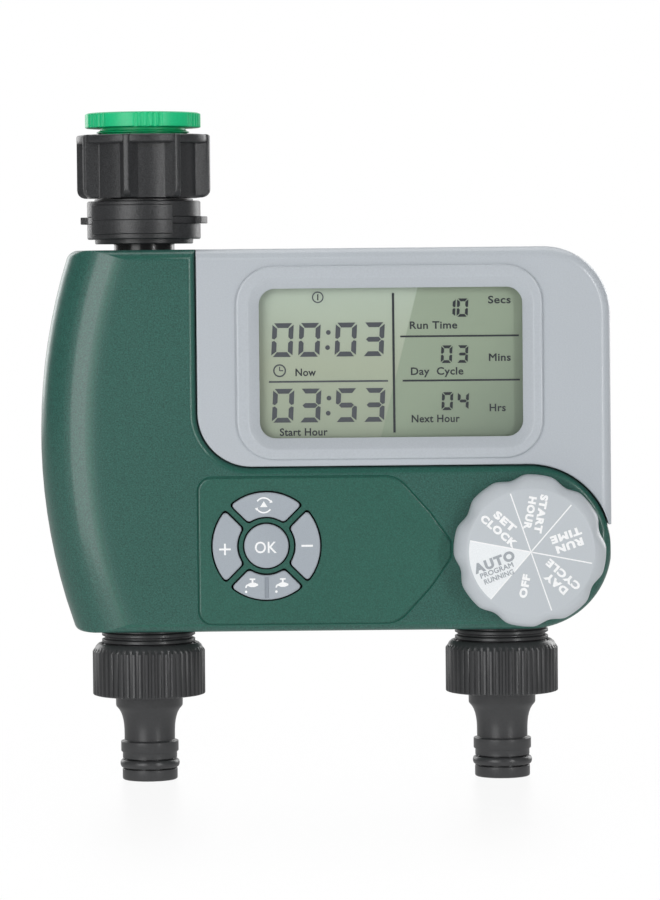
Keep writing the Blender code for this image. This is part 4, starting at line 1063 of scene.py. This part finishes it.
def tap_adapter(looks):
    """The bright adapter with ridged rim and thread."""
    thread = []
    for i in range(5):
        thread += thread_edge(-4.35 - i * PITCH, 13.1, 12.1)
    profile = [
        (10.5, -0.15), (10.7, 0.0), (15.5, 0.0), (grip_edge(0.0), -0.35), (grip_edge(0.0), -0.36),
        (grip_edge(0.42), -0.55), (grip_edge(0.42), -4.0), (15.9, -4.2), *thread, (13.1, -16.9),
        (12.5, -17.4), (7.0, -17.4), (7.0, -12.0), (10.5, -12.0),
    ]
    for i in range(8):
        profile += [(10.5, -10.6 + 1.2 * i), (10.1, -10.2 + 1.2 * i), (10.5, -9.8 + 1.2 * i)]
    ring = turned("adapter_ring", "Z", (0, 0), profile, 96, looks["bright"], 40)
    shown(ring, "adapter", "adapter_green", "tap_adapter")


def fluted(limit, floor_half=3.6):
    """The nut's eight rounded ribs and flat flutes, no wider than limit."""
    points = []
    half = math.degrees(floor_half / NUT_FLOOR)
    rib = [
        (-3.2, 0.75), (-2.7, 0.3), (-2.0, 0.06), (-1.2, 0.0), (1.2, 0.0), (2.0, 0.06), (2.7, 0.3),
        (3.2, 0.75),
    ]
    flute = [(NUT_FLOOR + 0.3, -half - 1.2), (NUT_FLOOR + 0.03, -half)]
    flute += [(NUT_FLOOR, half * step / 4) for step in range(-3, 4)]
    flute += [(NUT_FLOOR + 0.03, half), (NUT_FLOOR + 0.3, half + 1.2)]
    for k in range(8):
        middle = NUT_TURN + 45 * k
        ring = [(NUT_RADIUS - less, middle + turn) for turn, less in rib]
        ring += [(radius, middle + 22.5 + turn) for radius, turn in flute]
        for radius, degrees in ring:
            angle, radius = math.radians(degrees), min(radius, limit)
            points.append((radius * math.sin(angle), -radius * math.cos(angle)))
    return points


def inlet_nut(looks):
    """The swivel nut: eight tall grip ribs standing a little proud of its plain rim."""
    high = [(-6.2, 18.5), (-6.25, 18.8), (-6.45, 19.1), (-6.8, NUT_RADIUS)]
    low = [(-21.6, NUT_RADIUS), (-22.4, 19.1), (-23.0, 18.7), (-23.5, 18.1), (-23.8, 17.4), (-23.9, 17.0)]
    nut = stack("inlet_nut_grip", [(z, fluted(r)) for z, r in high + low], "Z")
    rim = [
        (0, -6.22), (18.1, -6.22), (18.45, -6.3), (18.7, -6.55), (18.8, -6.9), (18.8, -8.0), (18.7, -8.35),
        (18.4, -8.6), (17.6, -8.75), (0, -8.75),
    ]
    join(nut, turned("tool", "Z", (0, 0), rim, 128))
    cut(nut, rod("Z", (0, 0), 13.4, -22.3, 0, 96), rod("Z", (0, 0), 9.4, -30, -20, 64))
    shown(settle(nut, looks["black"], 28), "swivel_nut", "inlet_black", "inlet_nut")


def ring_outline(inner, outer, start, end, steps):
    """A ring sector in X and Y, its angles in degrees from -Y toward +X."""
    points = []
    for radius, ends in ((outer, (start, end)), (inner, (end, start))):
        for i in range(steps + 1):
            angle = math.radians(ends[0] + (ends[1] - ends[0]) * i / steps)
            points.append((radius * math.sin(angle), -radius * math.cos(angle)))
    return points


def swivel_collar(looks):
    """The collar under the nut with its raised panels, and the clip in its groove."""
    bottom, top = -31.28, -29.12
    profile = [
        (9.2, -24.2), (13.8, -24.2), (13.9, -24.3), (13.9, -24.8), (15.6, -24.8), (15.9, -24.95),
        (16.0, -25.2), (16.0, top), (12.2, top), (12.2, bottom), (16.0, bottom), (16.0, -35.1),
        (15.9, -35.35), (15.6, -35.5), (13.9, -35.5), (13.8, -36.6), (13.6, -36.8), (9.2, -36.8),
    ]
    collar = turned("collar_body", "Z", (0, 0), profile, 128)
    soft = [
        (-34.1, 0.35), (-34.0, 0.12), (-33.75, 0.0), (-30.25, 0.0), (-30.1, 0.12), (-29.95, 0.0),
        (-26.2, 0.0), (-25.95, 0.12), (-25.85, 0.35),
    ]
    for start in (-59, 121):
        layers = []
        for z, less in soft:
            trim = math.degrees(less / 16.6)
            layers.append((z, ring_outline(15.7, 16.6 - less, start + trim, start + 90 - trim, 32)))
        join(collar, stack("tool", layers, "Z"))
    shown(settle(collar, looks["black"], 30), "housing", "inlet_black", "swivel_collar")
    open_at = 166.0
    edge = [(-31.2, 0.15), (-31.05, 0.0), (-29.35, 0.0), (-29.2, 0.15)]
    layers = [(z, ring_outline(12.6 + g, 15.9 - g, open_at + 25, open_at + 335, 64)) for z, g in edge]
    clip = stack("collar_clip", layers, "Z")
    for middle in (76.0, -104.0):
        tab = [(z, ring_outline(14.0, 18.0 - g, middle - 10 + g, middle + 10 - g, 10)) for z, g in edge]
        join(clip, stack("tool", tab, "Z"))
    shown(settle(clip, looks["black"]), "housing", "inlet_black", "locking_clip")


def rib_edge(crest, root):
    """The connector's fine grip ribs."""
    def shape(degrees):
        wave = math.cos(math.radians(degrees * 54))
        return root + (crest - root) * min(1.0, max(0.0, 0.5 + 0.95 * wave))
    return shape, 648


def connectors(looks):
    """Two ribbed quick-connect outlets with their O-rings."""
    for side, x in zip(("left", "right"), VALVE_X):
        profile = [
            (13.6, -150.0), (13.9, -149.6), (14.2, -149.6), (14.9, -150.2), (rib_edge(15.25, 15.25), -150.9),
            (rib_edge(15.5, 15.3), -151.2), (rib_edge(15.9, 15.3), -151.8), (rib_edge(15.9, 15.3), -163.9),
            (rib_edge(15.75, 15.25), -164.1), (rib_edge(15.1, 15.1), -164.3), (9.6, -164.4), (9.5, -164.6),
            (9.45, -167.2), (9.35, -167.55), (8.55, -168.5), (8.05, -169.4), (7.7, -170.4), (7.42, -171.6),
            (7.25, -172.9), (7.17, -174.4), (7.15, -177.1), (7.25, -177.25), (8.0, -177.4), (8.15, -177.55),
            (8.15, -180.2), (8.05, -180.4), (7.75, -180.45), (7.7, -180.6), (7.7, -182.2), (7.6, -182.3),
            (6.6, -182.3), (6.6, -185.3), (7.7, -185.3), (7.8, -185.4), (7.8, -187.9), (7.7, -188.2),
            (7.4, -188.4), (5.2, -188.4), (4.9, -188.1), (4.9, -160.3), (13.6, -160.3),
        ]
        body = turned(f"{side}_outlet_nipple", "Z", (x, 0), profile, 108, looks["dark"], 30)
        shown(body, f"{side}_outlet", "water_plastic", f"{side}_connector")
        turns = [math.tau * i / 20 for i in range(20)]
        ring = [(7.6 + 0.8 * math.cos(turn), -183.8 + 1.2 * math.sin(turn)) for turn in turns]
        seal = turned(f"{side}_outlet_oring", "Z", (x, 0), ring, 96, looks["dark"])
        shown(seal, f"{side}_outlet", "rubber_black", f"{side}_connector_oring")


def cad_copy(name, frame, node_name):
    """A new object with a bare copy of a CAD node's mesh."""
    copy = linked(name, frame["nodes"][node_name].data.copy())
    copy.data.materials.clear()
    return copy


def manifold(frame, looks):
    """The water manifold: its hidden run is kept; the inlet pipe and outlet stubs are turned afresh."""
    kept = cad_copy("water_run", frame, "water_manifold")
    cut(kept, block((-40, 140), (-40, 40), (-52, 0)), block((-40, 140), (-40, 40), (-200, -142)))
    shown(settle(kept, looks["inner"]), "housing", "water_plastic", "water_manifold")
    pipe = [
        (PIPE_RADIUS, -36.5), (PIPE_RADIUS, -53.0), (6.2, -53.0), (6.2, -35.6), (6.6, -35.3), (8.2, -35.3),
        (8.45, -35.5),
    ]
    inlet = turned("inlet_stem", "Z", (0, 0), pipe, 96, looks["stem"], 40)
    shown(inlet, "housing", "water_plastic", "water_manifold")
    for side, x in zip(("left", "right"), VALVE_X):
        profile = [(STUB_RADIUS, -141.0), (STUB_RADIUS, -145.6)]
        for i in range(6):
            z = -145.6 - i * PITCH
            profile += [
                (12.35, z - 0.35), (12.35, z - 0.6), (STUB_RADIUS - 0.05, z - 0.95), (STUB_RADIUS, z - 1.1),
                (STUB_RADIUS, z - PITCH + 0.1),
            ]
        profile += [(12.9, -156.9), (12.4, -157.4), (6.2, -157.4), (6.0, -157.2), (6.0, -141.0)]
        stub = turned(f"{side}_outlet_stub", "Z", (x, 0), profile, 96, looks["dark"], 30)
        shown(stub, "housing", "water_plastic", "water_manifold")


def plunger_springs(frame, looks):
    """The valve springs as copies of their CAD nodes in turned steel, riding on the housing."""
    for side in ("left", "right"):
        node_name = f"{side}_plunger_spring"
        spring = cad_copy(f"{side}_valve_spring", frame, node_name)
        spring.data.materials.append(looks["steel"])
        shown(spring, "housing", "spring_steel", node_name)
        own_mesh(spring)


def dress_nodes(frame, looks):
    """Give every carried-over CAD node its procedural look."""
    plan = {
        "steel": ("housing_screw", "battery_cover_screw", "battery_spring", "battery_contact", "plunger"),
        "window": ("display_lens",), "display": ("lcd_panel",), "board": ("main_board",),
        "wrap": ("battery_1", "battery_2"),
        "inner": ("lcd_holder", "selector_switch", "battery_tray", "inlet_sleeve", "bonnet"),
        "rubber": ("washer", "seal", "mat", "diaphragm", "oring"), "copper": ("coil",),
        "mesh": ("inlet_filter",), "shaft": ("selector_shaft",),
    }
    for name, obj in frame["nodes"].items():
        for look, parts in plan.items():
            if any(part in name for part in parts):
                obj.data.materials.clear()
                obj.data.materials.append(looks[look])
                break


# Stage

def emptied(owner):
    """The node tree of a material or a world, with nothing in it."""
    owner.use_nodes = True
    owner.node_tree.nodes.clear()
    return owner.node_tree


def emissive(name):
    """A plain white glow."""
    material = bpy.data.materials.new(name)
    tree = emptied(material)
    light = node(tree, "ShaderNodeEmission", in_Color=WHITE, in_Strength=1.0)
    node(tree, "ShaderNodeOutputMaterial", in_0=light.outputs[0])
    return material


def sheet(name, corners, material):
    """A flat four-cornered card or floor."""
    bm = bmesh.new()
    bm.faces.new([bm.verts.new([v * MM for v in corner]) for corner in corners])
    mesh = bpy.data.meshes.new(name)
    bm.to_mesh(mesh)
    bm.free()
    mesh.materials.append(material)
    obj = linked(name, mesh)
    return obj


def softbox(name, at, target, size, power):
    """A rectangular white lamp aimed at a target."""
    data = bpy.data.lights.new(name, "AREA")
    data.shape, data.size, data.size_y = "RECTANGLE", size[0] * MM, size[1] * MM
    data.energy = power
    obj = linked(name, data)
    obj.location = [v * MM for v in at]
    obj.rotation_euler = (Vector(target) * MM - obj.location).to_track_quat("-Z", "Y").to_euler()
    return obj


def floor_look():
    """A clear sheet over the white ground, so that a lowered outlet still shows below it.

    It mirrors a little under the object and not at all further off.
    """
    material = bpy.data.materials.new("pale_floor")
    tree = emptied(material)
    centre = (50 * MM, 0, FLOOR * MM)
    reach = node(tree, "ShaderNodeVectorMath", operation="DISTANCE", in_0=place_in(tree), in_1=centre)
    share = ranged(
        tree, reach.outputs["Value"], MIRROR_START * MM, MIRROR_END * MM, MIRROR_SHARE, 0.0,
        interpolation_type="SMOOTHSTEP",
    )
    clear = node(tree, "ShaderNodeBsdfTransparent", in_Color=WHITE)
    mirror = node(tree, "ShaderNodeBsdfGlossy", in_Color=WHITE, in_Roughness=0.3)
    both = node(tree, "ShaderNodeMixShader", in_0=share, in_1=clear.outputs[0], in_2=mirror.outputs[0])
    node(tree, "ShaderNodeOutputMaterial", in_0=both.outputs[0])
    return material


def surroundings():
    """A white world for the eye and a dim one for light and reflections, with light from below."""
    world = bpy.data.worlds.new("studio")
    bpy.context.scene.world = world
    tree = emptied(world)
    path = node(tree, "ShaderNodeLightPath")
    up = node(tree, "ShaderNodeSeparateXYZ", in_0=place_in(tree, "Generated")).outputs[2]
    backgrounds = []
    for above, below in ((FILL, UPLIGHT), (DIM, UPLIGHT * 0.6), (1.0, 1.0)):
        strength = ranged(tree, up, -0.12, 0.0, below, above)
        backgrounds.append(node(tree, "ShaderNodeBackground", in_0=WHITE, in_1=strength).outputs[0])
    fill, dim, white = backgrounds
    shiny = node(
        tree, "ShaderNodeMixShader", in_0=path.outputs["Is Glossy Ray"], in_1=fill, in_2=dim,
    ).outputs[0]
    final = node(tree, "ShaderNodeMixShader", in_0=path.outputs["Is Camera Ray"], in_1=shiny, in_2=white)
    node(tree, "ShaderNodeOutputWorld", in_0=final.outputs[0])


def stage():
    """The surroundings, a floor with a faint mirror, a bright card behind, and soft lamps."""
    surroundings()
    far, back, side, top = 30000, 2490, 4000, 1500
    ground = [(-far, -far, FLOOR), (far, -far, FLOOR), (far, back, FLOOR), (-far, back, FLOOR)]
    floor = sheet("floor", ground, floor_look())
    floor.visible_diffuse = floor.visible_glossy = floor.visible_shadow = False
    back += 10
    card = [(-side, back, FLOOR), (side, back, FLOOR), (side, back, top), (-side, back, top)]
    backdrop = sheet("backdrop", card, emissive("backdrop_light"))
    backdrop.visible_camera = backdrop.visible_diffuse = False
    middle = (50, 0, -95)
    softbox("right_strip", (975, -1180, 200), middle, (110, 1100), 6.0)
    softbox("left_box", (-743, -1272, 150), middle, (800, 1100), 9.0)
    softbox("top_box", (50, 250, 900), middle, (1200, 900), 6.0)
    softbox("back_right", (900, 1100, 350), middle, (500, 900), 4.0)
    softbox("back_left", (-800, 1200, 350), middle, (500, 900), 2.5)


def camera():
    """The photo's viewpoint: a long lens in front, aimed slightly down and rolled a little."""
    data = bpy.data.cameras.new("camera")
    data.lens, data.sensor_width = 169.8, 36.0
    data.clip_start, data.clip_end = 50 * MM, 20000 * MM
    obj = linked("camera", data)
    obj.location = (51.9 * MM, -1200 * MM, -44.2 * MM)
    view = Euler((math.radians(90 - 2.45), 0, 0), "XYZ").to_matrix()
    roll = Matrix.Rotation(math.radians(-0.55), 3, "Z")
    obj.rotation_euler = (view @ roll).to_euler()
    bpy.context.scene.camera = obj


def main():
    """Build every piece on the frame, then the stage."""
    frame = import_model()
    looks = make_materials()
    shape_steps = (
        front_housing, display_bezel, rear_housing, battery_cover, display_content, key_bodies, key_marks,
        selector,
        tap_adapter, inlet_nut, swivel_collar, connectors,
    )
    for build in shape_steps:
        build(looks)
    manifold(frame, looks)
    plunger_springs(frame, looks)
    dress_nodes(frame, looks)
    stage()
    camera()
    bpy.context.scene.view_settings.view_transform = "Standard"


main()
